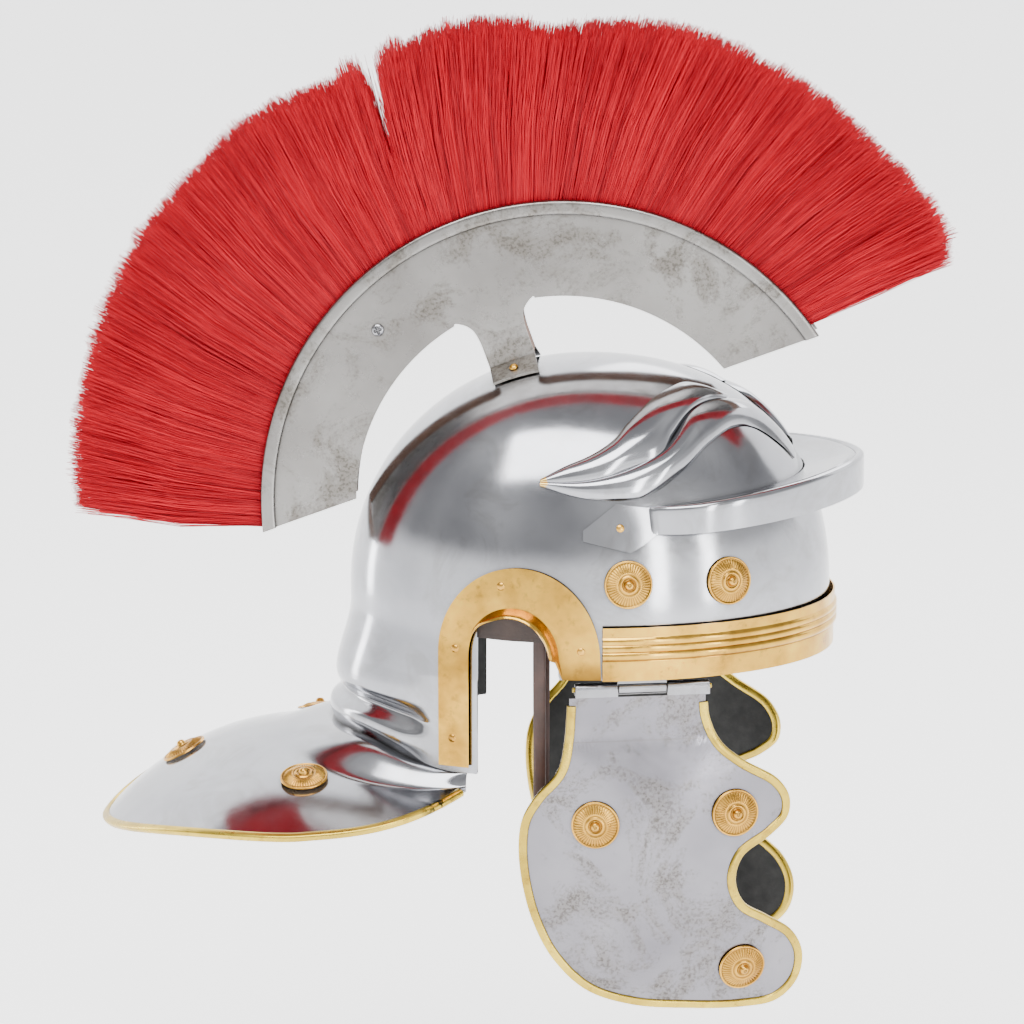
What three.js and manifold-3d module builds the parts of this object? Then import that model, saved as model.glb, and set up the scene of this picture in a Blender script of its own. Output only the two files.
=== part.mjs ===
// A legionary helmet with a fore-and-aft crest: millimetres, +Z up.
// +X is the wearer's front, +Y the wearer's left. The origin is the centre of the
// head opening, at the level of the rim.
import * as THREE from 'three';
import Module from 'manifold-3d';

const wasm = await Module();
wasm.setup();

// Sheet metal and the gap that touching pieces keep
const WALL = 1.2;
const BRASS = 1.0;
const GAP = 0.45;
const SEAT_GAP = 0.35;

// Bowl: half-lengths and half-width at the waist, outside
const BOWL_FRONT = 118;
const BOWL_BACK = 117;
const BOWL_SIDE = 92;
const WAIST = 27;
const CROWN_RISE = 113.5;
const FRONT_POWER = 2.25;
const BACK_POWER = 2.05;
const SIDE_POWER = 2.15;
const CROWN = WAIST + CROWN_RISE;
const BOWL_COLUMNS = 36;
const DOME_ANGLES = [90, 78, 65, 52, 39, 26, 13];

// Nape: its depth below the waist, its ribs and how it narrows and drops beside the ears
const NAPE_DEPTH = 66;
const RIB_HEIGHT = 10.5;
const NAPE_START = 0.455;
const NAPE_NARROWING = 8;
const NAPE_FROM_ANGLE = 100;
const NAPE_SIDE_DROP = 0.16;
const NAPE_SIDE_ANGLES = [120, 152];
const RIB_FADE_ANGLES = [126, 136];
const NAPE_ROWS = [
  { drop: 0, bulge: 0 },
  { drop: 0.15, bulge: 0 },
  { drop: 0.3, bulge: 0.2 },
  { drop: 0.455, bulge: 0.48 },
  { drop: 0.58, bulge: 0.67 },
  { drop: 0.67, bulge: 0.67 },
  { drop: 0.73, bulge: 0.48 },
  { drop: 0.766, bulge: 0.31 },
  { drop: 0.8, bulge: 0.55 },
  { drop: 0.84, bulge: 0.88 },
  { drop: 0.9, bulge: 1 },
  { drop: 1, bulge: 0.82 },
];

// Neck guard: plan of its edge and fall of its median line
const GUARD_REACH = 105;
const GUARD_CENTRE = -135;
const GUARD_HALF_WIDTH = 112.5;
const GUARD_REAR_POWER = 1.75;
const GUARD_FRONT_POWER = 3.05;
const GUARD_CORNER = { x: -56.5, y: 80 };
const GUARD_LEVEL = -43.7;
const GUARD_FALL = 47.7;
const GUARD_FALL_START = -128;
const GUARD_FALL_POWER = 2.57;
const GUARD_DROOP = 22.1;
const GUARD_DROOP_GROWTH = 0.081;
const GUARD_DROOP_POWER = 1.75;
const GUARD_FILLET = 0.3;
const GUARD_ROOT_LIFT = 0.7 * WALL;
const GUARD_SHARES = [0, 0.14, 0.36, 0.7, 1];
const GUARD_SWEEP = 140;
const GUARD_FRONT_SHARES = [1, 0.95, 0.8, 0.56, 0.28];
const GUARD_REAR_STEPS = 7;

// Edge piping: a U channel over the edge of a sheet
const PIPING_WIDTH = 4.4;
const PIPING_SKIN = 0.8;
const PIPING_PLAY = 0.4;
const PIPING_NOSE = 0.3;

// Ear opening and its brass guard
const EAR_ANGLE = 117;
const EAR_MIDDLE = -35.5;
const EAR_HALF = 21.5;
const EAR_SPRING = 10;
const EAR_RISE = 24;
const EAR_REAR_STRIP = 4.3;
const EAR_GUARD_MIDDLE = -32.5;
const EAR_GUARD_HALF = 38.5;
const EAR_GUARD_RISE = 43.5;
const EAR_GUARD_REAR_FOOT = -46;
const EAR_GUARD_FRONT_FOOT = 0.6;
const EAR_OPENING_LEAN = 3;
const EAR_INNER_LEAN = 2;
const EAR_OUTER_LEAN = 0.5;
const EAR_LIP = 7;
const EAR_LIP_DROP = 3.5;
const EAR_TURN_IN = 0.2;
const EAR_LIP_SHARES = { start: 0.3, run: 0.2, end: 1.02, fall: 0.1 };
const EAR_LEG_STOPS = [0.25, 0.5, 0.75];
const EAR_CUT_STEPS = 16;
const EAR_GUARD_STEPS = 12;

// Brow band
const BAND_HEIGHT = 26;
const BAND_START = 8.5;
const RIB_PROUD = 1.1;
const BAND_RIBS = [0.74, 0.61, 0.47];
const BAND_RIB_HALF = 0.06;
const BAND_STEPS = 20;

// Peak: plan of its edge, its level and its flange
const PEAK_MIDDLE = 50;
const PEAK_REACH = 83;
const PEAK_HALF_WIDTH = 88;
const PEAK_POWER = 1.65;
const PEAK_START = 28;
const PEAK_START_IN = 7;
const PEAK_LEVEL = 78.5;
const PEAK_EDGE_SLOPE = 0.11;
const PEAK_SEAT_SLOPE = 0.073;
const PEAK_FLANGE = 11.2;
const PEAK_FLANGE_GROWTH = 0.039;
const PEAK_END_STEPS = 4;
const PEAK_STEPS = 8;
const ARROW_LENGTH = 36;
const ARROW_HEIGHT = 22;
const ARROW_LAP = 5.5;
const ARROW_DROP = 9.3;
const ARROW_ROWS = [
  { along: 0, low: -0.11, high: 0.11 },
  { along: 0.22, low: -0.19, high: 0.37 },
  { along: 0.44, low: -0.28, high: 0.66 },
  { along: 0.62, low: -0.36, high: 0.61 },
  { along: 0.8, low: -0.2, high: 0.57 },
  { along: 1, low: 0.06, high: 0.55 },
];

// Embossed eyebrows: angle round the bowl and height as a share of the bowl's height
const BROW_PROUD = 4;
const BROW_GAP = 0.9;
const BROW_LAP = 0.12;
const BROW_STEPS = 9;
const BROW_END = 0.06;
const BROW_FULLNESS = 0.6;
const BROW_SECTION = [
  { across: 0, up: 0 },
  { across: 0.5, up: 1 },
  { across: 1, up: 0 },
  { across: 0.75, up: 0 },
  { across: 0.5, up: 0 },
  { across: 0.25, up: 0 },
];
const BROW_UPPER = [
  { angle: 103.4, height: 0.668 },
  { angle: 96.7, height: 0.709 },
  { angle: 89.8, height: 0.74 },
  { angle: 82.6, height: 0.784 },
  { angle: 76, height: 0.837 },
  { angle: 64.5, height: 0.893 },
  { angle: 50, height: 0.922 },
  { angle: 29.6, height: 0.929 },
  { angle: 18.5, height: 0.887 },
];
const BROW_MIDDLE = [
  { angle: 103.4, height: 0.659 },
  { angle: 97.7, height: 0.66 },
  { angle: 87.9, height: 0.674 },
  { angle: 78.7, height: 0.712 },
  { angle: 69, height: 0.747 },
  { angle: 62.3, height: 0.806 },
  { angle: 51.4, height: 0.859 },
  { angle: 36.8, height: 0.883 },
  { angle: 23.7, height: 0.878 },
];
const BROW_INNER = [
  { angle: 103.4, height: 0.659 },
  { angle: 87.9, height: 0.674 },
  { angle: 69, height: 0.747 },
  { angle: 51.4, height: 0.859 },
  { angle: 36.8, height: 0.883 },
  { angle: 23.7, height: 0.878 },
  { angle: 12.8, height: 0.853 },
  { angle: 9, height: 0.791 },
  { angle: 6.4, height: 0.7075 },
];
const BROW_LOWER = [
  { angle: 103.3, height: 0.649 },
  { angle: 90, height: 0.613 },
  { angle: 76.6, height: 0.614 },
  { angle: 63.6, height: 0.686 },
  { angle: 51.5, height: 0.76 },
  { angle: 36, height: 0.8 },
  { angle: 24, height: 0.786 },
  { angle: 15.4, height: 0.715 },
  { angle: 11.5, height: 0.66 },
];

// Rosettes and rivets
const ROSETTE_RADIUS = 11.5;
const ROSETTE_HEIGHT = 5;
const ROSETTE_SIDES = 12;
const ROSETTE_PROFILE = [
  { radius: 0, height: 0 },
  { radius: 1, height: 0 },
  { radius: 1, height: 0.2 },
  { radius: 0.82, height: 0.24 },
  { radius: 0.36, height: 0.66 },
  { radius: 0.18, height: 0.62 },
  { radius: 0, height: 1 },
];
const RIVET_RADIUS = 2.2;
const RIVET_HEIGHT = 1.3;
const RIVET_SIDES = 6;
const SCREW_SIDES = 8;
const BUTTON_PROFILE = [
  { radius: 0, height: 0 },
  { radius: 1, height: 0 },
  { radius: 0.8, height: 0.7 },
  { radius: 0, height: 1 },
];

// Places of rosettes: shares of the bowl's front half and height, and of the neck guard
const BOWL_ROSETTES = [
  { name: 'bowl_rosette_rear', forward: 0.1627, up: 0.3295 },
  { name: 'bowl_rosette_front', forward: 0.5678, up: 0.3217 },
];
const GUARD_ROSETTE_REAR = { back: 0.619, side: 0, lift: 0 };
const GUARD_ROSETTE_SIDE = { back: 0.0143, side: 0.6044, lift: 0.9 };

// Places of rivets: the turn round the ear's arch, the share across the strip from its
// outer edge, and the share of the way down the rear leg; then shares of the arrow plate
const EAR_RIVETS = [
  { turn: 102.8, across: 0.42, down: 0 },
  { turn: 176.8, across: 0.605, down: 0 },
  { turn: 180, across: 0.5, down: 0.748 },
  { turn: 6, across: 0.442, down: 0 },
];
const PEAK_RIVET = { along: 0.486, up: 0.1455 };

// Cheek guards: hinge, size and outline as shares of the span and the drop
const HINGE_POINT = { x: 25.9, y: 86, z: -4.8 };
const HINGE_YAW = 9.6;
const KNUCKLE_RADIUS = 3;
const PIN_RADIUS = 1.3;
const PIN_PLAY = 0.25;
const PIN_OVERHANG = 1.2;
const KNUCKLE_HALF = 32.4;
const KNUCKLE_MIDDLE_HALF = 11.6;
const KNUCKLE_PLAY = 0.4;
const LEAF_RISE = 15;
const KNUCKLE_SIDES = 10;
const PIN_SIDES = 8;
const WEB_DROP = 0.035;
const WEB_TOP = 0.2;
const LEAF_ROOT = 0.45;
const CHEEK_SPAN = 134.7;
const CHEEK_DROP = 163.7;
const CHEEK_CREASE = 0.153;
const CHEEK_DISH = 8;
const CHEEK_TURN_IN = 11;
const CHEEK_WRAP = 7;
const CHEEK_CORE = { along: 0.104, down: 0.6 };
const CHEEK_RINGS = [1, 0.82, 0.46];
const CHEEK_POINTS = 33;
const CHEEK_SIDE_FALL = 0.8;
const CHEEK_DISH_POWER = 0.8;
const CHEEK_TURN_POWER = 1.5;
const CHEEK_WRAP_RUN = 3;
const CHEEK_TOP_STOPS = [0.8, 0.6, 0.4, 0.2];
const CHEEK_OUTLINE = [
  { along: -0.271, down: 0.043 },
  { along: -0.28, down: 0.15 },
  { along: -0.305, down: 0.237 },
  { along: -0.375, down: 0.311 },
  { along: -0.42, down: 0.385 },
  { along: -0.432, down: 0.473 },
  { along: -0.418, down: 0.59 },
  { along: -0.38, down: 0.706 },
  { along: -0.31, down: 0.82 },
  { along: -0.188, down: 0.921 },
  { along: -0.02, down: 0.972 },
  { along: 0.177, down: 0.991 },
  { along: 0.38, down: 1.0 },
  { along: 0.513, down: 0.987 },
  { along: 0.59, down: 0.925 },
  { along: 0.605, down: 0.84 },
  { along: 0.56, down: 0.765 },
  { along: 0.46, down: 0.705 },
  { along: 0.37, down: 0.654 },
  { along: 0.334, down: 0.58 },
  { along: 0.36, down: 0.511 },
  { along: 0.466, down: 0.456 },
  { along: 0.53, down: 0.405 },
  { along: 0.536, down: 0.345 },
  { along: 0.49, down: 0.284 },
  { along: 0.36, down: 0.218 },
  { along: 0.28, down: 0.162 },
  { along: 0.239, down: 0.085 },
  { along: 0.233, down: 0.043 },
];
const CHEEK_ROSETTES = [
  { name: 'cheek_rosette_rear', along: -0.169, down: 0.4 },
  { name: 'cheek_rosette_front', along: 0.33, down: 0.377 },
  { name: 'cheek_rosette_low', along: 0.3725, down: 0.8636 },
];
const CHEEK_ROSETTE_LIFT = 0.2;

// Crest: an arc-shaped box tilted back, on one leg, its centre at a depth below the crown
const CREST_CENTRE_X = -12;
const CREST_DEPTH = 70.8;
const CREST_TILT = 20;
const CREST_OUTER = 148.2;
const CREST_INNER = 101.5;
const CREST_END_HEIGHT = 35.5;
const CREST_HALF_THICKNESS = 10;
const CREST_STATIONS = 18;
const RIM_WIDTH = 7;
const RIM_PROUD = 2.4;
const RIM_SECTION = [
  { across: 0, out: 0 },
  { across: 0.17, out: 0.8 },
  { across: 0.5, out: 1 },
  { across: 0.86, out: 0.8 },
  { across: 1, out: 0 },
];
const LEG_WIDTH = 23;
const LEG_FLARE = 5;
const LEG_FOLD = 73.4;
const LEG_LAP = 2;
const LEG_OUTLINE = [
  { up: 0, flare: 0 },
  { up: 0.55, flare: 0 },
  { up: 0.75, flare: 0.25 },
  { up: 1, flare: 1 },
];
const FOOT_REACH = 13;
const FOOT_CLEAR = 0.3;
const FOOT_ROOT = 0.6 * WALL;
const FOOT_TOP_SIDE = -1;
const CORE_PROUD = 1.6;
const CORE_INSET = 0.6;
const CORE_END_INSET = 0.8;
const SCREW_RADIUS = 3.1;
const PLATE_SCREW = { radius: 123.8, angle: 27 };

// Plume: hair length by angle from the front end of the crest, as shares of the longest
const HAIR_LENGTH = 92;
const HAIR_LEAN = 4.5;
const HAIR_BASE_HALF = 8;
const HAIR_TIP_HALF = 23;
const HAIR_RUFFLE = 1.6;
const HAIR_ENDS = [19.5, 165.4];
const HAIR_LOCKS = [
  { at: 0, length: 0.8 },
  { at: 0.02, length: 0.87 },
  { at: 0.07, length: 0.9 },
  { at: 0.12, length: 0.91 },
  { at: 0.16, length: 0.94 },
  { at: 0.2, length: 0.95 },
  { at: 0.24, length: 0.97 },
  { at: 0.28, length: 0.99 },
  { at: 0.32, length: 0.98 },
  { at: 0.36, length: 0.94 },
  { at: 0.4, length: 0.91 },
  { at: 0.44, length: 0.98 },
  { at: 0.48, length: 0.99 },
  { at: 0.52, length: 0.98 },
  { at: 0.545, length: 0.93 },
  { at: 0.558, length: 0.56 },
  { at: 0.575, length: 0.94 },
  { at: 0.6, length: 1 },
  { at: 0.62, length: 1.02 },
  { at: 0.66, length: 1.04 },
  { at: 0.7, length: 1.03 },
  { at: 0.75, length: 1.05 },
  { at: 0.8, length: 1.06 },
  { at: 0.85, length: 1.05 },
  { at: 0.9, length: 1.04 },
  { at: 0.95, length: 1.03 },
  { at: 1, length: 1.0 },
];
const HAIR_SECTION = [
  { up: 0, out: -1 },
  { up: 0.5, out: -1 },
  { up: 0.93, out: -1 },
  { up: 1, out: -0.5 },
  { up: 1, out: 0.5 },
  { up: 0.93, out: 1 },
  { up: 0.5, out: 1 },
  { up: 0, out: 1 },
];

// Leather: headband and chin strap
const LINER_LOW = 17;
const LINER_THICKNESS = 2.2;
const LINER_STATIONS = 20;
const STRAP_X = -23;
const STRAP_PLAY = 0.8;
const STRAP_LEAVES = 4;
const STRAP_FALL_STOPS = [0.3, 0.65, 1];
const STRAP_WIDTH = 6;
const STRAP_THICKNESS = 2;
const STRAP_TOP = 34;
const STRAP_WAIST = -58;
const STRAP_WAIST_HALF = 68;
const STRAP_BOTTOM = -126;
const STRAP_ARC_STEPS = 16;

// Repeats of the two searches for a place on the bowl
const PLAN_PASSES = 6;
const HALVINGS = 24;

const degrees = (angle) => (angle * Math.PI) / 180;
const vector = (x, y, z) => new THREE.Vector3(x, y, z);
const smooth = (value) => THREE.MathUtils.smoothstep(value, 0, 1);

// Height that is left of a unit superellipse at a share of its half-length
function superellipse(share, power) {
  return Math.pow(Math.max(0, 1 - Math.pow(Math.min(1, share), power)), 1 / power);
}

function between(rows, at, key, value) {
  const next = rows.findIndex((row) => row[key] >= at);
  if (next < 0) return rows[rows.length - 1][value];
  if (next === 0) return rows[0][value];
  const low = rows[next - 1];
  const high = rows[next];
  return THREE.MathUtils.lerp(low[value], high[value], (at - low[key]) / (high[key] - low[key]));
}

// Meshes as points and triangles

function volumeOf(points, triangles) {
  const edge = new THREE.Vector3();
  return triangles.reduce(
    (sum, [a, b, c]) => sum + edge.crossVectors(points[b], points[c]).dot(points[a]), 0);
}

// One closed solid: equal points are merged, flat triangles dropped, faces turned out
function closedSolid(points, triangles) {
  const known = new Map();
  const merged = [];
  const place = points.map((point) => {
    const key = point.toArray().map((value) => Math.round(value * 1e4)).join();
    if (!known.has(key)) {
      known.set(key, merged.length);
      merged.push(point);
    }
    return known.get(key);
  });
  let faces = triangles.map((triangle) => triangle.map((corner) => place[corner]));
  faces = faces.filter(([a, b, c]) => a !== b && b !== c && c !== a);
  if (volumeOf(merged, faces) < 0) faces = faces.map(([a, b, c]) => [a, c, b]);
  const mesh = new wasm.Mesh({
    numProp: 3,
    vertProperties: new Float32Array(merged.flatMap((point) => point.toArray())),
    triVerts: new Uint32Array(faces.flat()),
  });
  return new wasm.Manifold(mesh);
}

// A wall between two grids of points, closed at its edges or running all the way round
function wallBetween(outer, inner, around = false) {
  const columns = outer.length;
  const rows = outer[0].length;
  const points = [...outer.flat(), ...inner.flat()];
  const triangles = [];
  const at = (side, column, row) => side * columns * rows + (column % columns) * rows + row;
  const quad = (a, b, c, d) => triangles.push([a, b, c], [a, c, d]);
  const last = around ? columns : columns - 1;
  for (let i = 0; i < last; i += 1) {
    for (let j = 0; j < rows - 1; j += 1) {
      quad(at(0, i, j), at(0, i + 1, j), at(0, i + 1, j + 1), at(0, i, j + 1));
      quad(at(1, i, j), at(1, i, j + 1), at(1, i + 1, j + 1), at(1, i + 1, j));
    }
    quad(at(0, i, 0), at(1, i, 0), at(1, i + 1, 0), at(0, i + 1, 0));
    quad(at(0, i, rows - 1), at(0, i + 1, rows - 1), at(1, i + 1, rows - 1), at(1, i, rows - 1));
  }
  if (!around) {
    for (let j = 0; j < rows - 1; j += 1) {
      quad(at(0, 0, j), at(0, 0, j + 1), at(1, 0, j + 1), at(1, 0, j));
      quad(at(0, last, j), at(1, last, j), at(1, last, j + 1), at(0, last, j + 1));
    }
  }
  return closedSolid(points, triangles);
}

// Unit normals of a grid of points, from its neighbours
function gridNormals(grid) {
  const clamp = (value, most) => Math.min(Math.max(value, 0), most);
  return grid.map((column, i) => column.map((point, j) => {
    const across = grid[clamp(i + 1, grid.length - 1)][j].clone()
      .sub(grid[clamp(i - 1, grid.length - 1)][j]);
    const along = column[clamp(j + 1, column.length - 1)].clone()
      .sub(column[clamp(j - 1, column.length - 1)]);
    return across.cross(along).normalize();
  }));
}

// A sheet of one thickness: `side` is 1 or -1 for the way its second face lies
function sheet(grid, thickness, side) {
  const normals = gridNormals(grid);
  const second = grid.map((column, i) => column.map((point, j) => (
    point.clone().addScaledVector(normals[i][j], side * thickness))));
  return wallBetween(grid, second);
}

// Rings of points joined in order, with flat ends that follow the section's outline
function loft(rings, section) {
  const count = rings[0].length;
  const points = rings.flat();
  const triangles = [];
  for (let i = 0; i < rings.length - 1; i += 1) {
    for (let k = 0; k < count; k += 1) {
      const a = i * count + k;
      const b = i * count + ((k + 1) % count);
      triangles.push([a, b, b + count], [a, b + count, a + count]);
    }
  }
  const outline = section.map(([across, up]) => new THREE.Vector2(across, up));
  const turn = THREE.ShapeUtils.isClockWise(outline) ? -1 : 1;
  const cap = THREE.ShapeUtils.triangulateShape(outline, []);
  const end = (rings.length - 1) * count;
  cap.forEach(([a, b, c]) => {
    const near = turn > 0 ? [a, c, b] : [a, b, c];
    const far = turn > 0 ? [a, b, c] : [a, c, b];
    triangles.push(near, far.map((corner) => corner + end));
  });
  return closedSolid(points, triangles);
}

// A closed three.js geometry as a solid
function solidOf(geometry) {
  const position = geometry.getAttribute('position');
  const index = geometry.getIndex();
  const count = index ? index.count : position.count;
  const points = [];
  for (let i = 0; i < position.count; i += 1) points.push(vector().fromBufferAttribute(position, i));
  const triangles = [];
  for (let i = 0; i < count; i += 3) {
    triangles.push([0, 1, 2].map((step) => (index ? index.getX(i + step) : i + step)));
  }
  return closedSolid(points, triangles);
}

// An outline in X and Z pushed through Y, from low to high
function plateXZ(outline, low, high) {
  const shape = new THREE.Shape(outline.map(([x, z]) => new THREE.Vector2(x, z)));
  const geometry = new THREE.ExtrudeGeometry(shape, { depth: high - low, bevelEnabled: false });
  geometry.rotateX(Math.PI / 2);
  geometry.translate(0, high, 0);
  return solidOf(geometry);
}

function boxSolid(low, high) {
  const size = high.clone().sub(low);
  const geometry = new THREE.BoxGeometry(size.x, size.y, size.z);
  geometry.translate(...low.clone().add(high).multiplyScalar(0.5).toArray());
  return solidOf(geometry);
}

// Materials

const finish = (color, roughness, metalness) => ({ color, roughness, metalness });
const STEEL = finish(0xb4b6b9, 0.28, 1);
const DULL_STEEL = finish(0x9c9ea2, 0.45, 1);
const BRASS_SHEET = finish(0xc9a45c, 0.35, 1);
const PIPING_BRASS = finish(0xcdb860, 0.4, 1);
const ROSETTE_BRASS = finish(0xd2ab66, 0.32, 1);
const WOOD = finish(0x6b4630, 0.7, 0);
const HAIR = finish(0xc4242c, 0.75, 0);
const LINER_LEATHER = finish(0x2e1f1a, 0.8, 0);
const STRAP_LEATHER = finish(0x46302a, 0.7, 0);

const helmet = new THREE.Group();

function addPiece(name, body, look, parent = helmet) {
  const result = body.getMesh();
  const points = [];
  for (let i = 0; i < result.vertProperties.length; i += result.numProp) {
    points.push(...result.vertProperties.slice(i, i + 3));
  }
  const geometry = new THREE.BufferGeometry();
  geometry.setAttribute('position', new THREE.Float32BufferAttribute(points, 3));
  geometry.setIndex(Array.from(result.triVerts));
  const flat = geometry.toNonIndexed();
  flat.computeVertexNormals();
  const mesh = new THREE.Mesh(flat, new THREE.MeshStandardMaterial(look));
  mesh.name = name;
  parent.add(mesh);
  return mesh;
}

// Bowl surface

const RIM_SHARE = WAIST / NAPE_DEPTH;

function sideDrop(angle) {
  const [low, high] = NAPE_SIDE_ANGLES;
  return NAPE_SIDE_DROP * (1 - THREE.MathUtils.smoothstep(Math.abs(angle), low, high));
}

function napeHeight(drop, angle) {
  const extra = sideDrop(angle) * Math.max(0, (drop - NAPE_START) / (1 - NAPE_START));
  return WAIST - NAPE_DEPTH * drop * (1 + extra);
}

// The share of the nape's depth that lies at a height: the inverse of napeHeight
function napeShare(height, angle) {
  const share = (WAIST - height) / NAPE_DEPTH;
  const extra = sideDrop(angle) / (1 - NAPE_START);
  if (share <= NAPE_START || extra < 1e-6) return share;
  const linear = 1 - extra * NAPE_START;
  return (Math.sqrt(linear * linear + 4 * extra * share) - linear) / (2 * extra);
}

// Half-lengths and half-width of the bowl's outside at a height, moved out by `off`
function bowlPlan(height, angle, off = 0) {
  const rise = Math.max(0, height - WAIST) / (CROWN_RISE + off);
  const drop = Math.max(0, napeShare(height, angle));
  const below = Math.max(0, (drop - NAPE_START) / (1 - NAPE_START));
  const start = RIB_HEIGHT * between(NAPE_ROWS, NAPE_START, 'drop', 'bulge');
  const end = RIB_HEIGHT * NAPE_ROWS[NAPE_ROWS.length - 1].bulge;
  const ribbed = RIB_HEIGHT * between(NAPE_ROWS, drop, 'drop', 'bulge');
  const plain = THREE.MathUtils.lerp(start, end, Math.min(1, below));
  const ribs = below > 0 ? THREE.MathUtils.smoothstep(Math.abs(angle), ...RIB_FADE_ANGLES) : 1;
  const bulge = THREE.MathUtils.lerp(plain, ribbed, ribs);
  const side = below > 0 ? bulge - start - NAPE_NARROWING * Math.min(1, below) : 0;
  return {
    front: (BOWL_FRONT + off) * superellipse(rise, FRONT_POWER),
    back: (BOWL_BACK + bulge + off) * superellipse(rise, BACK_POWER),
    side: (BOWL_SIDE + side + off) * superellipse(rise, SIDE_POWER),
  };
}

function bowlPoint(angle, height, off = 0) {
  const plan = bowlPlan(height, angle, off);
  const along = Math.cos(degrees(angle));
  const reach = along > 0 ? plan.front : plan.back;
  return vector(reach * along, plan.side * Math.sin(degrees(angle)), height);
}

// Distance from the median plane to the bowl at a place seen from the side
function bowlHalf(x, height, off = 0) {
  let angle = x < 0 ? EAR_ANGLE : 180 - EAR_ANGLE;
  let half = 0;
  for (let pass = 0; pass < PLAN_PASSES; pass += 1) {
    const plan = bowlPlan(height, angle, off);
    const share = Math.min(1, Math.abs(x) / (x > 0 ? plan.front : plan.back));
    half = plan.side * Math.sqrt(1 - share * share);
    angle = (Math.acos(Math.sign(x) * share) * 180) / Math.PI;
  }
  return half;
}

const onRight = (x, z, off) => vector(x, -bowlHalf(x, z, off), z);

function normalOnRight(x, z) {
  const along = onRight(x + 1, z).sub(onRight(x - 1, z));
  const up = onRight(x, z + 1).sub(onRight(x, z - 1));
  return along.cross(up).normalize();
}

// A right-hand solid and its mirror image on the left
const mirrored = (body) => body.mirror([0, 1, 0]);

// Bowl and neck guard, one piece

function skullColumn(angle, off) {
  const rise = CROWN_RISE + off;
  const dome = DOME_ANGLES.map((step) => {
    const height = WAIST + rise * Math.sin(degrees(step));
    return bowlPoint(angle, height, off);
  });
  const whole = Math.abs(angle) > NAPE_FROM_ANGLE;
  const nape = NAPE_ROWS.map(({ drop }) => {
    const share = whole ? drop : Math.min(drop, RIM_SHARE);
    return bowlPoint(angle, whole ? napeHeight(share, angle) : WAIST - NAPE_DEPTH * share, off);
  });
  return [...dome, ...nape];
}

function skull() {
  const angles = Array.from({ length: BOWL_COLUMNS }, (_, i) => {
    const angle = (360 * i) / BOWL_COLUMNS;
    return angle > 180 ? angle - 360 : angle;
  });
  const outer = angles.map((angle) => skullColumn(angle, 0));
  const inner = angles.map((angle) => skullColumn(angle, -WALL));
  return wallBetween(outer, inner, true);
}

// Edge of the neck guard in plan, from the right corner round the back to the left one
function guardEdge() {
  const half = [];
  const reach = GUARD_CORNER.x - GUARD_CENTRE;
  for (const share of GUARD_FRONT_SHARES) {
    const y = GUARD_HALF_WIDTH
      - (GUARD_HALF_WIDTH - GUARD_CORNER.y) * Math.pow(share, GUARD_FRONT_POWER);
    const turn = EAR_ANGLE + (GUARD_SWEEP - EAR_ANGLE) * (1 - share);
    half.push({ x: GUARD_CENTRE + reach * share, y, angle: turn });
  }
  for (let step = 0; step < GUARD_REAR_STEPS; step += 1) {
    const turn = degrees((90 * step) / GUARD_REAR_STEPS);
    const power = 2 / GUARD_REAR_POWER;
    half.push({
      x: GUARD_CENTRE - GUARD_REACH * Math.pow(Math.sin(turn), power),
      y: GUARD_HALF_WIDTH * Math.pow(Math.cos(turn), power),
      angle: GUARD_SWEEP + (180 - GUARD_SWEEP) * (step / GUARD_REAR_STEPS),
    });
  }
  const right = half.map(({ x, y, angle }) => ({ x, y: -y, angle: -angle }));
  const middle = { x: GUARD_CENTRE - GUARD_REACH, y: 0, angle: 180 };
  return [...right, middle, ...half.slice().reverse()];
}

function guardHeight(x, y) {
  const span = GUARD_CENTRE - GUARD_REACH;
  const share = Math.max(0, (GUARD_FALL_START - x) / (GUARD_FALL_START - span));
  const droop = GUARD_DROOP + GUARD_DROOP_GROWTH * Math.max(0, GUARD_CORNER.x - x);
  return GUARD_LEVEL - GUARD_FALL * Math.pow(share, GUARD_FALL_POWER)
    - droop * Math.pow(Math.abs(y) / GUARD_HALF_WIDTH, GUARD_DROOP_POWER);
}

function guardGrid() {
  return guardEdge().map(({ x, y, angle }) => {
    const root = bowlPoint(angle, napeHeight(1, angle), -WALL / 2);
    root.z += GUARD_ROOT_LIFT;
    return GUARD_SHARES.map((share) => {
      const spot = vector(
        THREE.MathUtils.lerp(root.x, x, share), THREE.MathUtils.lerp(root.y, y, share), 0);
      const level = guardHeight(spot.x, spot.y);
      spot.z = THREE.MathUtils.lerp(root.z, level, smooth(share / GUARD_FILLET));
      return spot;
    });
  });
}

// Outline of the ear opening, seen from the side, from rear foot to front foot
function earArch(middle, half, rise, rearFoot, frontFoot, lean, steps) {
  const points = [[middle - half, rearFoot]];
  for (let i = 0; i <= steps; i += 1) {
    const turn = Math.PI * (1 - i / steps);
    points.push([middle + half * Math.cos(turn), EAR_SPRING + rise * Math.sin(turn)]);
  }
  points.push([middle + half + lean, frontFoot]);
  return points;
}

function bowlBody() {
  const deep = -2 * NAPE_DEPTH;
  const arch = earArch(
    EAR_MIDDLE, EAR_HALF, EAR_RISE, deep, deep, EAR_OPENING_LEAN, EAR_CUT_STEPS);
  const opening = arch.map(([x, z]) => [Math.max(x, EAR_MIDDLE - EAR_HALF + EAR_REAR_STRIP), z]);
  const through = plateXZ(opening, -2 * BOWL_SIDE, 2 * BOWL_SIDE);
  return skull().add(sheet(guardGrid(), WALL, -1)).subtract(through);
}

addPiece('bowl', bowlBody(), STEEL);

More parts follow.
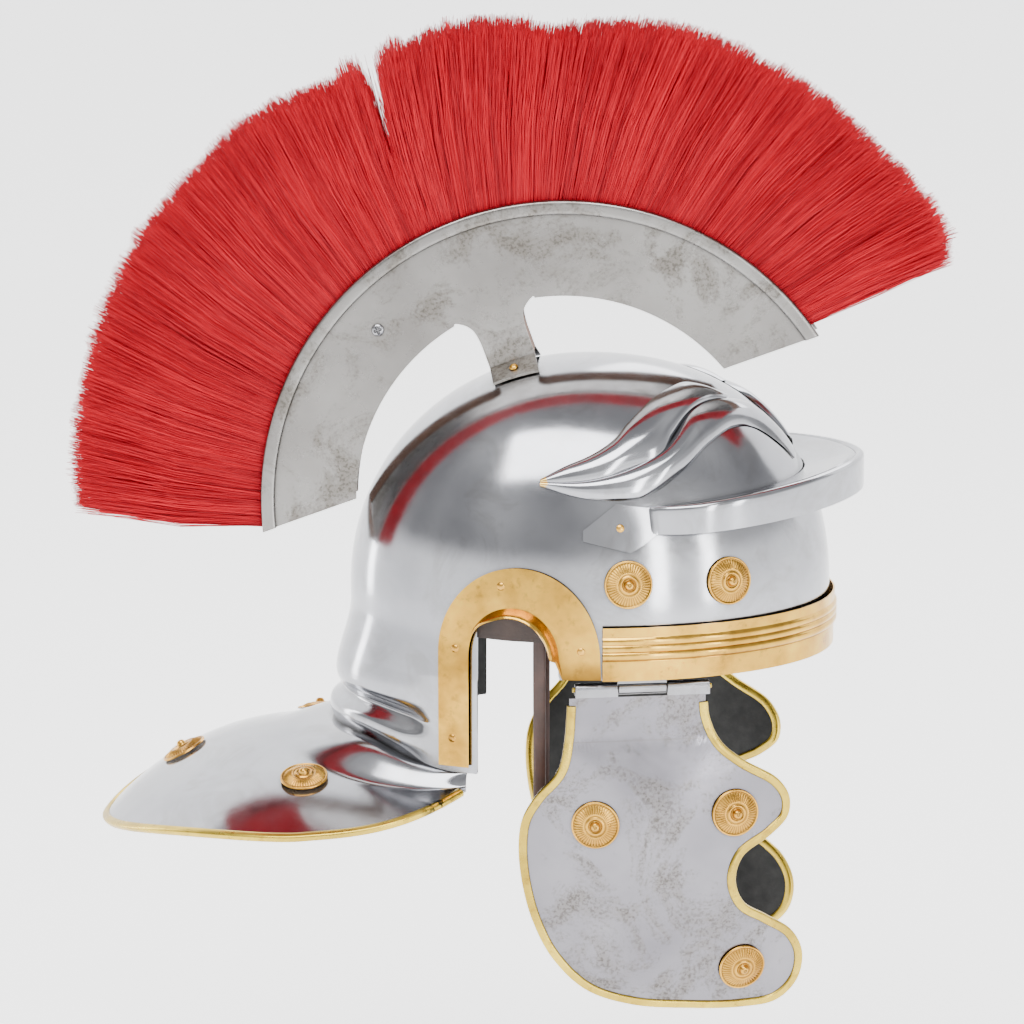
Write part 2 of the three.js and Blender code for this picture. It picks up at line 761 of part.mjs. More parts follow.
// U-shaped piping along the edge of a sheet: `edge` holds each point, the way out and the
// sheet's normal, with the sheet's middle at the point
function piping(edge) {
  const slot = WALL / 2 + PIPING_PLAY;
  const outer = slot + PIPING_SKIN;
  const lip = PIPING_SKIN + PIPING_NOSE;
  const deep = lip - PIPING_WIDTH;
  const section = [
    [deep, outer], [lip, outer], [lip, -outer], [deep, -outer],
    [deep, -slot], [PIPING_NOSE, -slot], [PIPING_NOSE, slot], [deep, slot],
  ];
  const rings = edge.map(({ point, out, normal }) => section.map(([across, up]) => (
    point.clone().addScaledVector(out, across).addScaledVector(normal, up))));
  return loft(rings, section);
}

function guardPiping() {
  const grid = guardGrid();
  const normals = gridNormals(grid);
  const last = GUARD_SHARES.length - 1;
  const edge = grid.map((column, i) => {
    const normal = normals[i][last].clone().negate();
    if (normal.z < 0) normal.negate();
    const before = grid[Math.max(i - 1, 0)][last];
    const after = grid[Math.min(i + 1, grid.length - 1)][last];
    const out = after.clone().sub(before).cross(normal).normalize();
    if (out.dot(column[last].clone().sub(column[last - 1])) < 0) out.negate();
    return { point: column[last].clone().addScaledVector(normal, -WALL / 2), out, normal };
  });
  return piping(edge.slice(1, -1));
}

addPiece('neck_guard_piping', guardPiping(), PIPING_BRASS);

// Ear guards

function earGuard() {
  const inner = earArch(
    EAR_MIDDLE, EAR_HALF, EAR_RISE, EAR_GUARD_REAR_FOOT, EAR_GUARD_FRONT_FOOT,
    EAR_INNER_LEAN, EAR_GUARD_STEPS);
  const outer = earArch(
    EAR_GUARD_MIDDLE, EAR_GUARD_HALF, EAR_GUARD_RISE, EAR_GUARD_REAR_FOOT,
    EAR_GUARD_FRONT_FOOT, EAR_OUTER_LEAN, EAR_GUARD_STEPS);
  const stretch = (points) => {
    const [[footX, footZ], [springX, springZ]] = points;
    const stops = EAR_LEG_STOPS.map((share) => [
      THREE.MathUtils.lerp(footX, springX, share), THREE.MathUtils.lerp(footZ, springZ, share)]);
    return [points[0], ...stops, ...points.slice(1)];
  };
  const insides = stretch(inner);
  const outsides = stretch(outer);
  const count = insides.length;
  const grid = insides.map(([x, z], i) => {
    const [farX, farZ] = outsides[i];
    const strip = [0, 1].map((share) => onRight(
      THREE.MathUtils.lerp(farX, x, share), THREE.MathUtils.lerp(farZ, z, share), GAP));
    const way = i / (count - 1);
    const lip = smooth((way - EAR_LIP_SHARES.start) / EAR_LIP_SHARES.run)
      * smooth((EAR_LIP_SHARES.end - way) / EAR_LIP_SHARES.fall);
    const normal = normalOnRight(x, z);
    const inward = vector(EAR_MIDDLE - x, 0, EAR_SPRING - z).normalize();
    const turned = [0.5, 1].map((share) => strip[1].clone()
      .addScaledVector(normal, lip * EAR_LIP * share)
      .addScaledVector(inward, (EAR_TURN_IN + lip * EAR_LIP_DROP) * share));
    return [...strip, ...turned];
  });
  return sheet(grid, BRASS, -1);
}

const rightEarGuard = earGuard();
addPiece('ear_guard_right', rightEarGuard, BRASS_SHEET);
addPiece('ear_guard_left', mirrored(rightEarGuard), BRASS_SHEET);

// Brow band, round the front of the rim

function browBand() {
  const section = [[GAP, 0], [GAP, BAND_HEIGHT], [GAP + BRASS, BAND_HEIGHT]];
  BAND_RIBS.forEach((share) => {
    const middle = share * BAND_HEIGHT;
    const half = BAND_RIB_HALF * BAND_HEIGHT;
    section.push([GAP + BRASS, middle + half]);
    section.push([GAP + BRASS + RIB_PROUD, middle]);
  });
  section.push([GAP + BRASS, (BAND_RIBS[BAND_RIBS.length - 1] - BAND_RIB_HALF) * BAND_HEIGHT]);
  section.push([GAP + BRASS, 0]);
  const start = (Math.acos(BAND_START / BOWL_FRONT) * 180) / Math.PI;
  const rings = Array.from({ length: BAND_STEPS + 1 }, (_, i) => {
    const angle = start * (1 - (2 * i) / BAND_STEPS);
    return section.map(([off, height]) => bowlPoint(angle, height, off));
  });
  return loft(rings, section);
}

addPiece('brow_band', browBand(), BRASS_SHEET);

// Peak, a turned-down shelf with an arrow-shaped plate at each end

function peakEdge() {
  const rows = [];
  for (let i = 0; i < PEAK_END_STEPS; i += 1) {
    const share = 1 - i / PEAK_END_STEPS;
    rows.push({
      x: PEAK_MIDDLE - (PEAK_MIDDLE - PEAK_START) * share,
      y: PEAK_HALF_WIDTH - PEAK_START_IN * share * share,
    });
  }
  for (let i = 0; i <= PEAK_STEPS; i += 1) {
    const turn = (Math.PI / 2) * (i / PEAK_STEPS);
    rows.push({
      x: PEAK_MIDDLE + PEAK_REACH * Math.pow(Math.sin(turn), 2 / PEAK_POWER),
      y: PEAK_HALF_WIDTH * Math.pow(Math.max(0, Math.cos(turn)), 2 / PEAK_POWER),
    });
  }
  const left = rows.slice(0, -1).reverse();
  return [...rows.map(({ x, y }) => ({ x, y: -y })), ...left];
}

// The same place moved sideways until it is clear of the bowl
function clearOfBowl(point, off) {
  if (point.x > BOWL_FRONT) return point;
  const least = bowlHalf(point.x, point.z, off);
  const side = Math.sign(point.y) || 1;
  if (Math.abs(point.y) >= least || point.x > PEAK_MIDDLE) return point;
  return vector(point.x, side * least, point.z);
}

// A place on the arrow plate, seen from the side, at shares of its length and height
function arrowSpot(along, up) {
  return [
    PEAK_START + ARROW_LAP - ARROW_LENGTH * (1 - along),
    PEAK_LEVEL - ARROW_DROP + ARROW_HEIGHT * up,
  ];
}

function peak() {
  const thin = WALL / PEAK_FLANGE;
  const section = [[0, 0], [1, 0], [1, -1], [1 - thin, -1], [1 - thin, -thin], [0, -thin]];
  const rings = peakEdge().map(({ x, y }) => {
    const level = PEAK_LEVEL + PEAK_EDGE_SLOPE * x;
    const flange = PEAK_FLANGE + PEAK_FLANGE_GROWTH * x;
    const guess = (Math.atan2(y / BOWL_SIDE, x / BOWL_FRONT) * 180) / Math.PI;
    const seatX = bowlPoint(guess, level, GAP).x;
    const seatLevel = PEAK_LEVEL + PEAK_SEAT_SLOPE * seatX;
    const seat = bowlPoint(guess, seatLevel, GAP);
    const edge = clearOfBowl(vector(x, y, level), GAP + WALL);
    const foot = clearOfBowl(vector(x, y, level - flange), GAP + WALL);
    const inward = vector(seat.x - x, seat.y - y, 0).normalize();
    const under = vector(0, 0, -WALL);
    const inside = clearOfBowl(foot.clone().addScaledVector(inward, WALL), GAP);
    const corner = clearOfBowl(edge.clone().addScaledVector(inward, WALL).add(under), GAP);
    const seatUnder = bowlPoint(guess, seatLevel - WALL, GAP);
    return [seat, edge, foot, inside, corner, seatUnder];
  });
  const arrow = ARROW_ROWS.map(({ along, low, high }) => [low, (low + high) / 2, high].map(
    (share) => onRight(...arrowSpot(along, share), GAP)));
  const arrowPlate = sheet(arrow, WALL, 1);
  return loft(rings, section).add(arrowPlate).add(mirrored(arrowPlate));
}

addPiece('brow_peak', peak(), STEEL);

// Embossed eyebrows

function browLine(rows) {
  const curve = new THREE.CatmullRomCurve3(
    rows.map(({ angle, height }) => vector(angle, height * CROWN, 0)), false, 'centripetal');
  return curve.getPoints(BROW_STEPS).map((spot) => ({ angle: spot.x, height: spot.y }));
}

function browLobe(upperRows, lowerRows, lap) {
  const uppers = browLine(upperRows);
  const lowers = browLine(lowerRows);
  const section = BROW_SECTION.map(({ across, up }) => [across, up]);
  const rings = uppers.map((upper, i) => {
    const lower = lowers[i];
    const way = THREE.MathUtils.lerp(BROW_END, 1 - BROW_END, i / BROW_STEPS);
    const rise = BROW_PROUD * Math.pow(Math.sin(Math.PI * way), BROW_FULLNESS);
    return BROW_SECTION.map(({ across, up }) => {
      const share = across * (across === 1 ? 1 + lap : 1);
      return bowlPoint(
        -THREE.MathUtils.lerp(upper.angle, lower.angle, share),
        THREE.MathUtils.lerp(upper.height, lower.height, share), BROW_GAP + rise * up);
    });
  });
  return loft(rings, section);
}

const rightBrow = browLobe(BROW_UPPER, BROW_MIDDLE, BROW_LAP)
  .add(browLobe(BROW_INNER, BROW_LOWER, 0));
addPiece('eyebrow_right', rightBrow, STEEL);
addPiece('eyebrow_left', mirrored(rightBrow), STEEL);

// Turned buttons, laid on a surface at a point along its normal

function turned(profile, radius, height, sides) {
  const points = profile.map((row) => new THREE.Vector2(row.radius * radius, row.height * height));
  const geometry = new THREE.LatheGeometry(points, sides);
  geometry.rotateX(Math.PI / 2);
  return solidOf(geometry);
}

function placed(body, point, normal) {
  const turn = new THREE.Quaternion().setFromUnitVectors(vector(0, 0, 1), normal);
  const matrix = new THREE.Matrix4().compose(point, turn, vector(1, 1, 1));
  return body.transform(matrix.toArray());
}

const rosette = turned(ROSETTE_PROFILE, ROSETTE_RADIUS, ROSETTE_HEIGHT, ROSETTE_SIDES);
const rivet = turned(BUTTON_PROFILE, RIVET_RADIUS, RIVET_HEIGHT, RIVET_SIDES);
const screw = turned(BUTTON_PROFILE, SCREW_RADIUS, RIVET_HEIGHT, SCREW_SIDES);

function onBothSides(name, body, point, normal, look) {
  const right = placed(body, point, normal);
  addPiece(`${name}_right`, right, look);
  addPiece(`${name}_left`, mirrored(right), look);
}

BOWL_ROSETTES.forEach(({ name, forward, up }) => {
  const [x, z] = [forward * BOWL_FRONT, up * CROWN];
  const normal = normalOnRight(x, z);
  const seat = onRight(x, z, 0).addScaledVector(normal, GAP);
  onBothSides(name, rosette, seat, normal, ROSETTE_BRASS);
});

// A place on the ear guard's strip, seen from the side
function earSpot({ turn, across, down }) {
  const [cos, sin] = [Math.cos(degrees(turn)), Math.sin(degrees(turn))];
  const x = THREE.MathUtils.lerp(
    EAR_GUARD_MIDDLE + EAR_GUARD_HALF * cos, EAR_MIDDLE + EAR_HALF * cos, across);
  const arch = EAR_SPRING + THREE.MathUtils.lerp(EAR_GUARD_RISE, EAR_RISE, across) * sin;
  return [x, THREE.MathUtils.lerp(arch, EAR_GUARD_REAR_FOOT, down)];
}

function riveted(name, [x, z], sheetThickness) {
  const normal = normalOnRight(x, z);
  const seat = onRight(x, z, GAP).addScaledVector(normal, sheetThickness + SEAT_GAP);
  onBothSides(name, rivet, seat, normal, ROSETTE_BRASS);
}

EAR_RIVETS.forEach((place, i) => riveted(`ear_rivet_${i + 1}`, earSpot(place), BRASS));
riveted('peak_rivet', arrowSpot(PEAK_RIVET.along, PEAK_RIVET.up), WALL);

function guardRosette({ back, side, lift }) {
  const x = GUARD_CENTRE - back * GUARD_REACH;
  const y = -side * GUARD_HALF_WIDTH;
  const along = vector(-2, 0, guardHeight(x - 1, y) - guardHeight(x + 1, y));
  const across = vector(0, 2, guardHeight(x, y + 1) - guardHeight(x, y - 1));
  const normal = across.cross(along).normalize();
  const point = vector(x, y, guardHeight(x, y)).addScaledVector(normal, GAP + lift);
  return placed(rosette, point, normal);
}

addPiece('neck_rosette_middle', guardRosette(GUARD_ROSETTE_REAR), ROSETTE_BRASS);
const sideRosette = guardRosette(GUARD_ROSETTE_SIDE);
addPiece('neck_rosette_right', sideRosette, ROSETTE_BRASS);
addPiece('neck_rosette_left', mirrored(sideRosette), ROSETTE_BRASS);

// Cheek guards, each in a frame with +X along its hinge and -Y away from the head

function cheekOut(along, down) {
  const below = Math.max(0, (down / CHEEK_DROP - CHEEK_CREASE) / (1 - CHEEK_CREASE));
  const aside = (along / CHEEK_SPAN - CHEEK_CORE.along) * 2;
  const dish = CHEEK_DISH * Math.pow(Math.sin(Math.PI * Math.min(1, below)), CHEEK_DISH_POWER);
  return KNUCKLE_RADIUS - WALL / 2 + dish * (1 - aside * aside * CHEEK_SIDE_FALL)
    - CHEEK_TURN_IN * Math.pow(below, CHEEK_TURN_POWER)
    - CHEEK_WRAP * aside * aside * smooth(below * CHEEK_WRAP_RUN);
}

const cheekPoint = (along, down, lift = 0) => vector(along, -cheekOut(along, down) - lift, -down);

function cheekNormal(along, down) {
  const forward = cheekPoint(along + 1, down).sub(cheekPoint(along - 1, down));
  const lower = cheekPoint(along, down + 1).sub(cheekPoint(along, down - 1));
  return lower.cross(forward).normalize();
}

// Outline of the plate inside its piping, from the rear end of the hinge round to the front
function cheekOutline() {
  const curve = new THREE.CatmullRomCurve3(
    CHEEK_OUTLINE.map((row) => vector(row.along * CHEEK_SPAN, row.down * CHEEK_DROP, 0)),
    false, 'centripetal');
  const spots = curve.getSpacedPoints(CHEEK_POINTS);
  return spots.map((spot, i) => {
    const before = spots[Math.max(i - 1, 0)];
    const after = spots[Math.min(i + 1, spots.length - 1)];
    const run = after.clone().sub(before).normalize();
    const out = vector(-run.y, run.x, 0);
    const inset = PIPING_SKIN + PIPING_NOSE;
    return { along: spot.x - out.x * inset, down: spot.y - out.y * inset, out };
  });
}

function tube(radius, hole, low, high, sides) {
  const half = (high - low) / 2;
  const profile = [[hole, -half], [radius, -half], [radius, half], [hole, half], [hole, -half]];
  const geometry = new THREE.LatheGeometry(profile.map(([x, y]) => new THREE.Vector2(x, y)), sides);
  geometry.rotateZ(Math.PI / 2);
  geometry.translate((low + high) / 2, 0, 0);
  return solidOf(geometry);
}

const PIN_HOLE = PIN_RADIUS + PIN_PLAY;

function outerKnuckle(low, high) {
  const barrel = tube(KNUCKLE_RADIUS, PIN_HOLE, low, high, KNUCKLE_SIDES);
  const skin = KNUCKLE_RADIUS - WALL;
  const web = boxSolid(
    vector(low, -KNUCKLE_RADIUS, -CHEEK_DROP * WEB_DROP), vector(high, -skin, -PIN_HOLE * WEB_TOP));
  return barrel.add(web);
}

function cheekPlate() {
  const outline = cheekOutline();
  const top = KNUCKLE_RADIUS + KNUCKLE_PLAY;
  const first = outline[0];
  const last = outline[outline.length - 1];
  const topPoints = CHEEK_TOP_STOPS.map((share) => ({
    along: THREE.MathUtils.lerp(first.along, last.along, share), down: top,
  }));
  const ring = [
    { along: first.along, down: top }, ...outline,
    { along: last.along, down: top }, ...topPoints,
  ];
  const core = { along: CHEEK_CORE.along * CHEEK_SPAN, down: CHEEK_CORE.down * CHEEK_DROP };
  const layer = (lift) => ring.map((spot) => {
    const rows = CHEEK_RINGS.map((share) => cheekPoint(
      THREE.MathUtils.lerp(core.along, spot.along, share),
      THREE.MathUtils.lerp(core.down, spot.down, share), lift));
    return [...rows, cheekPoint(core.along, core.down, lift)];
  });
  return wallBetween(layer(WALL / 2), layer(-WALL / 2), true);
}

function cheekGuard() {
  const clear = KNUCKLE_MIDDLE_HALF + KNUCKLE_PLAY;
  return cheekPlate()
    .add(outerKnuckle(-KNUCKLE_HALF, -clear))
    .add(outerKnuckle(clear, KNUCKLE_HALF));
}

function cheekPiping() {
  const edge = cheekOutline().map(({ along, down, out }) => {
    const point = cheekPoint(along, down);
    const normal = cheekNormal(along, down);
    const away = cheekPoint(along + out.x, down + out.y).sub(point);
    away.addScaledVector(normal, -away.dot(normal)).normalize();
    return { point, out: away, normal };
  });
  return piping(edge);
}

// Where the inside of the rim lies in the hinge's frame, at a place along the hinge
function rimInHinge(along) {
  const cos = Math.cos(degrees(HINGE_YAW));
  const sin = Math.sin(degrees(HINGE_YAW));
  const x = HINGE_POINT.x + along * cos;
  return (HINGE_POINT.y - along * sin - bowlHalf(x, 0, -WALL - GAP)) / cos;
}

// The middle knuckle and its leaf, which runs up inside the rim
function hingeLeaf() {
  const half = KNUCKLE_MIDDLE_HALF;
  const barrel = tube(KNUCKLE_RADIUS, PIN_HOLE, -half, half, KNUCKLE_SIDES);
  const outside = Math.max(...[-half, half].map(rimInHinge));
  const inBarrel = (KNUCKLE_RADIUS + PIN_HOLE) * LEAF_ROOT;
  const low = vector(-half, outside, inBarrel);
  return barrel.add(boxSolid(low, vector(half, outside + WALL, LEAF_RISE)));
}

const pinHalf = KNUCKLE_HALF + PIN_OVERHANG;
const cheekParts = [
  ['cheek_guard', cheekGuard(), STEEL],
  ['cheek_piping', cheekPiping(), PIPING_BRASS],
  ['hinge_leaf', hingeLeaf(), DULL_STEEL],
  ['hinge_pin', tube(PIN_RADIUS, 0, -pinHalf, pinHalf, PIN_SIDES), BRASS_SHEET],
];
CHEEK_ROSETTES.forEach(({ name, along, down }) => {
  const spot = [along * CHEEK_SPAN, down * CHEEK_DROP];
  const normal = cheekNormal(...spot);
  const seat = cheekPoint(...spot).addScaledVector(normal, WALL / 2 + GAP + CHEEK_ROSETTE_LIFT);
  cheekParts.push([name, placed(rosette, seat, normal), ROSETTE_BRASS]);
});

for (const side of ['right', 'left']) {
  const sign = side === 'right' ? -1 : 1;
  const group = new THREE.Group();
  group.position.set(HINGE_POINT.x, sign * HINGE_POINT.y, HINGE_POINT.z);
  group.rotation.z = degrees(-sign * HINGE_YAW);
  cheekParts.forEach(([name, body, look]) => {
    addPiece(`${name}_${side}`, side === 'right' ? body : mirrored(body), look, group);
  });
  helmet.add(group);
}

// Crest, in a frame with +Z along its leg

const crest = new THREE.Group();
crest.position.set(CREST_CENTRE_X, 0, CROWN - CREST_DEPTH);
crest.rotation.y = degrees(-CREST_TILT);
helmet.add(crest);

// A place on an arc whose two ends are cut off level, at a share of the way round
function arcSpot(radius, share, endHeight = CREST_END_HEIGHT) {
  const end = Math.asin(endHeight / radius);
  const turn = end + (Math.PI - 2 * end) * share;
  return [radius * Math.cos(turn), radius * Math.sin(turn)];
}

function legOutline(low, high) {
  const right = LEG_OUTLINE.map(({ up, flare }) => [
    LEG_WIDTH / 2 + LEG_FLARE * flare, THREE.MathUtils.lerp(low, high, up)]);
  const left = right.map(([x, z]) => [-x, z]).reverse();
  return [...right, ...left];
}

// Height in the crest's frame at which a place beside the leg meets the bowl
function bowlInCrest(x, y) {
  let low = 0;
  let high = LEG_FOLD * 2;
  for (let pass = 0; pass < HALVINGS; pass += 1) {
    const z = (low + high) / 2;
    const spot = vector(x, 0, z).applyAxisAngle(vector(0, 1, 0), degrees(-CREST_TILT));
    const level = spot.z + CROWN - CREST_DEPTH;
    const half = level < CROWN ? bowlHalf(spot.x + CREST_CENTRE_X, level, GAP) : 0;
    if (Math.abs(y) < half) low = z;
    else high = z;
  }
  return high;
}

// Lower face of the foot, from the leg's face out to the bowl
function footGrid() {
  const half = LEG_WIDTH / 2;
  const start = -CREST_HALF_THICKNESS + FOOT_ROOT;
  const end = -CREST_HALF_THICKNESS - FOOT_REACH;
  return [-half, 0, half].map((x) => {
    const low = bowlInCrest(x, end) + FOOT_CLEAR;
    return [0, 0.5, 1].map((share) => vector(
      x, THREE.MathUtils.lerp(start, end, share), THREE.MathUtils.lerp(LEG_FOLD, low, share)));
  });
}

function crestPlate() {
  const inside = -CREST_HALF_THICKNESS + WALL;
  const face = -CREST_HALF_THICKNESS;
  const rim = RIM_SECTION.map(({ across, out }) => [
    CREST_OUTER - RIM_WIDTH * (1 - across), face - RIM_PROUD * out]);
  const section = [[CREST_INNER, inside], [CREST_INNER, face], ...rim, [CREST_OUTER, inside]];
  const rings = Array.from({ length: CREST_STATIONS + 1 }, (_, i) => section.map(([radius, y]) => {
    const [x, z] = arcSpot(radius, i / CREST_STATIONS);
    return vector(x, y, z);
  }));
  const leg = plateXZ(legOutline(LEG_FOLD, CREST_INNER + LEG_LAP), face, inside);
  return loft(rings, section).add(leg).add(sheet(footGrid(), WALL, FOOT_TOP_SIDE));
}

function crestCore() {
  const half = CREST_HALF_THICKNESS - WALL - SEAT_GAP;
  const low = CREST_INNER + CORE_INSET;
  const high = CREST_OUTER + CORE_PROUD;
  const section = [[low, -half], [low, half], [high, half], [high, -half]];
  const rings = Array.from({ length: CREST_STATIONS + 1 }, (_, i) => section.map(([radius, y]) => {
    const [x, z] = arcSpot(radius, i / CREST_STATIONS, CREST_END_HEIGHT + CORE_END_INSET);
    return vector(x, y, z);
  }));
  const leg = plateXZ(legOutline(LEG_FOLD + WALL, low + LEG_LAP), -half, half);
  return loft(rings, section).add(leg);
}

const rightPlate = crestPlate();
addPiece('crest_plate_right', rightPlate, DULL_STEEL, crest);
addPiece('crest_plate_left', mirrored(rightPlate), DULL_STEEL, crest);
addPiece('crest_core', crestCore(), WOOD, crest);

function onPlate(name, body, spot, normal, look) {
  const right = placed(body, spot, normal);
  addPiece(`${name}_right`, right, look, crest);
  addPiece(`${name}_left`, mirrored(right), look, crest);
}

const screwTurn = degrees(90 + PLATE_SCREW.angle);
const screwSeat = vector(
  PLATE_SCREW.radius * Math.cos(screwTurn), -CREST_HALF_THICKNESS - SEAT_GAP,
  PLATE_SCREW.radius * Math.sin(screwTurn));
onPlate('crest_screw', screw, screwSeat, vector(0, -1, 0), STEEL);

const [footTop, footMiddle, footEnd] = footGrid()[1];
const footFall = footEnd.clone().sub(footTop);
const footNormal = vector(0, footFall.z, -footFall.y).normalize();
footMiddle.addScaledVector(footNormal, WALL + SEAT_GAP);
onPlate('foot_screw', rivet, footMiddle, footNormal, ROSETTE_BRASS);

// Plume: locks fused to one fan of hair on the crest core

function plume() {
  const base = CREST_OUTER + CORE_PROUD + SEAT_GAP;
  const section = HAIR_SECTION.map(({ up, out }) => [out, up]);
  const rings = HAIR_LOCKS.map(({ at, length }, i) => {
    const turn = THREE.MathUtils.lerp(HAIR_ENDS[0], HAIR_ENDS[1], at);
    const ruffle = (i % 2 ? 1 : -1) * HAIR_RUFFLE;
    return HAIR_SECTION.map(({ up, out }) => {
      const radius = base + HAIR_LENGTH * length * up;
      const angle = degrees(turn - HAIR_LEAN * Math.min(1, up * length));
      const spread = THREE.MathUtils.lerp(HAIR_BASE_HALF, HAIR_TIP_HALF + ruffle, up * length);
      return vector(radius * Math.cos(angle), out * spread, radius * Math.sin(angle));
    });
  });
  return loft(rings, section);
}

addPiece('plume', plume(), HAIR, crest);

// Leather headband inside the bowl, and the chin strap that hangs from it

const LINER_OFF = -WALL - GAP;
const LOWEST_DOME_ANGLE = DOME_ANGLES[DOME_ANGLES.length - 1];
const LINER_HIGH = WAIST + (CROWN_RISE - WALL) * Math.sin(degrees(LOWEST_DOME_ANGLE));

function liner() {
  const heights = [LINER_LOW, WAIST, LINER_HIGH];
  const angles = Array.from({ length: LINER_STATIONS }, (_, i) => (360 * i) / LINER_STATIONS);
  const layer = (off) => angles.map((angle) => {
    const turn = angle > 180 ? angle - 360 : angle;
    return heights.map((height) => bowlPoint(turn, height, off));
  });
  return wallBetween(layer(LINER_OFF), layer(LINER_OFF - LINER_THICKNESS), true);
}

addPiece('liner', liner(), LINER_LEATHER);

function chinStrap() {
  const inLiner = bowlHalf(STRAP_X, LINER_HIGH, LINER_OFF - LINER_THICKNESS);
  const top = inLiner - STRAP_PLAY - STRAP_THICKNESS / 2;
  const low = LINER_LOW - STRAP_LEAVES;
  const half = [[top, STRAP_TOP], [top, low]];
  STRAP_FALL_STOPS.forEach((share) => half.push([
    THREE.MathUtils.lerp(top, STRAP_WAIST_HALF, smooth(share)),
    THREE.MathUtils.lerp(low, STRAP_WAIST, share)]));
  const middle = [];
  for (let i = 1; i < STRAP_ARC_STEPS; i += 1) {
    const turn = (Math.PI * i) / STRAP_ARC_STEPS;
    const drop = STRAP_WAIST - STRAP_BOTTOM;
    middle.push([-STRAP_WAIST_HALF * Math.cos(turn), STRAP_WAIST - drop * Math.sin(turn)]);
  }
  const path = [...half.map(([y, z]) => [-y, z]), ...middle, ...half.reverse()];
  const section = [[-1, -1], [1, -1], [1, 1], [-1, 1]];
  const rings = path.map(([y, z], i) => {
    const [y0, z0] = path[Math.max(i - 1, 0)];
    const [y1, z1] = path[Math.min(i + 1, path.length - 1)];
    const run = Math.hypot(y1 - y0, z1 - z0);
    const across = [-(z1 - z0) / run, (y1 - y0) / run];
    return section.map(([side, out]) => vector(
      STRAP_X + (side * STRAP_WIDTH) / 2,
      y + (out * across[0] * STRAP_THICKNESS) / 2,
      z + (out * across[1] * STRAP_THICKNESS) / 2));
  });
  return loft(rings, section);
}

addPiece('chin_strap', chinStrap(), STRAP_LEATHER);

export default helmet;
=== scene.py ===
import math

import bpy
import numpy as np
from mathutils import Matrix, Vector

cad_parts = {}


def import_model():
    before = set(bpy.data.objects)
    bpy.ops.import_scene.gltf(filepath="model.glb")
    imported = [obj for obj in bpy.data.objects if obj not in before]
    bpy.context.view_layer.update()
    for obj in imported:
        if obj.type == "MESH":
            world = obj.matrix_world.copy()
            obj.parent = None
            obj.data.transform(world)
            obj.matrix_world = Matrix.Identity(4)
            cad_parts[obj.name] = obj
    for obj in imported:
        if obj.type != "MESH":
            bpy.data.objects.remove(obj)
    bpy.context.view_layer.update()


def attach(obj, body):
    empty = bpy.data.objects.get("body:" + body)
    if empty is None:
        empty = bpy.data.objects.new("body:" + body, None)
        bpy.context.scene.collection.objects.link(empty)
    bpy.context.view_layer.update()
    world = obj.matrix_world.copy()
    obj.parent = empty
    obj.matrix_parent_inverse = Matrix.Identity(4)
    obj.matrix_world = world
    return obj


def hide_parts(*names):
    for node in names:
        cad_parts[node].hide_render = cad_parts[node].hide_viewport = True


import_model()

# Sizes are millimetres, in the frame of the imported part: +X to the wearer's front, +Y to
# the left, +Z up. Meshes are scaled to metres as they are made.
MM = 0.001
SIDES = ("right", "left")
WALL = 1.2
BRASS = 1.0
GAP = 0.45

BOWL_FRONT = 118.0
BOWL_BACK = 117.0
BOWL_SIDE = 92.0
WAIST = 27.0
CROWN_RISE = 113.5
CROWN = WAIST + CROWN_RISE
FRONT_POWER = 2.25
BACK_POWER = 2.05
SIDE_POWER = 2.15

NAPE_DEPTH = 66.0
RIB_HEIGHT = 10.5
NAPE_START = 0.455
NAPE_NARROWING = 8.0
NAPE_SIDE_DROP = 0.16
NAPE_SIDE_ANGLES = (120.0, 152.0)
RIB_FADE_ANGLES = (126.0, 136.0)
RIM_SHARE = WAIST / NAPE_DEPTH
NAPE_DROPS = (0, 0.15, 0.3, 0.455, 0.58, 0.67, 0.73, 0.766, 0.8, 0.84, 0.9, 1)
NAPE_BULGES = (0, 0, 0.2, 0.48, 0.67, 0.67, 0.48, 0.31, 0.55, 0.88, 1, 0.82)

GUARD_REACH = 105.0
GUARD_CENTRE = -135.0
GUARD_HALF_WIDTH = 112.5
GUARD_REAR_POWER = 1.75
GUARD_FRONT_POWER = 3.05
GUARD_CORNER = (-56.5, 80.0)
GUARD_LEVEL = -43.7
GUARD_FALL = 47.7
GUARD_FALL_START = -128.0
GUARD_FALL_POWER = 2.57
GUARD_DROOP = 22.1
GUARD_DROOP_GROWTH = 0.081
GUARD_DROOP_POWER = 1.75
GUARD_SWEEP = 140.0
PIPING_WIDTH = 4.4
PIPING_SKIN = 0.8

EAR_ANGLE = 117.0
EAR_MIDDLE = -35.5
EAR_HALF = 21.5
EAR_SPRING = 10.0
EAR_RISE = 24.0
EAR_REAR_STRIP = 4.3
EAR_GUARD_MIDDLE = -32.5
EAR_GUARD_HALF = 38.5
EAR_GUARD_RISE = 43.5
EAR_GUARD_REAR_FOOT = -46.0
EAR_GUARD_FRONT_FOOT = 0.6
EAR_LIP = 7.0
EAR_LIP_DROP = 3.5

BAND_HEIGHT = 26.0
BAND_START = 7.1
RIB_PROUD = 1.1
BAND_RIBS = (0.74, 0.61, 0.47)
BAND_RIB_HALF = 0.06
BAND_LEDGE = 0.5

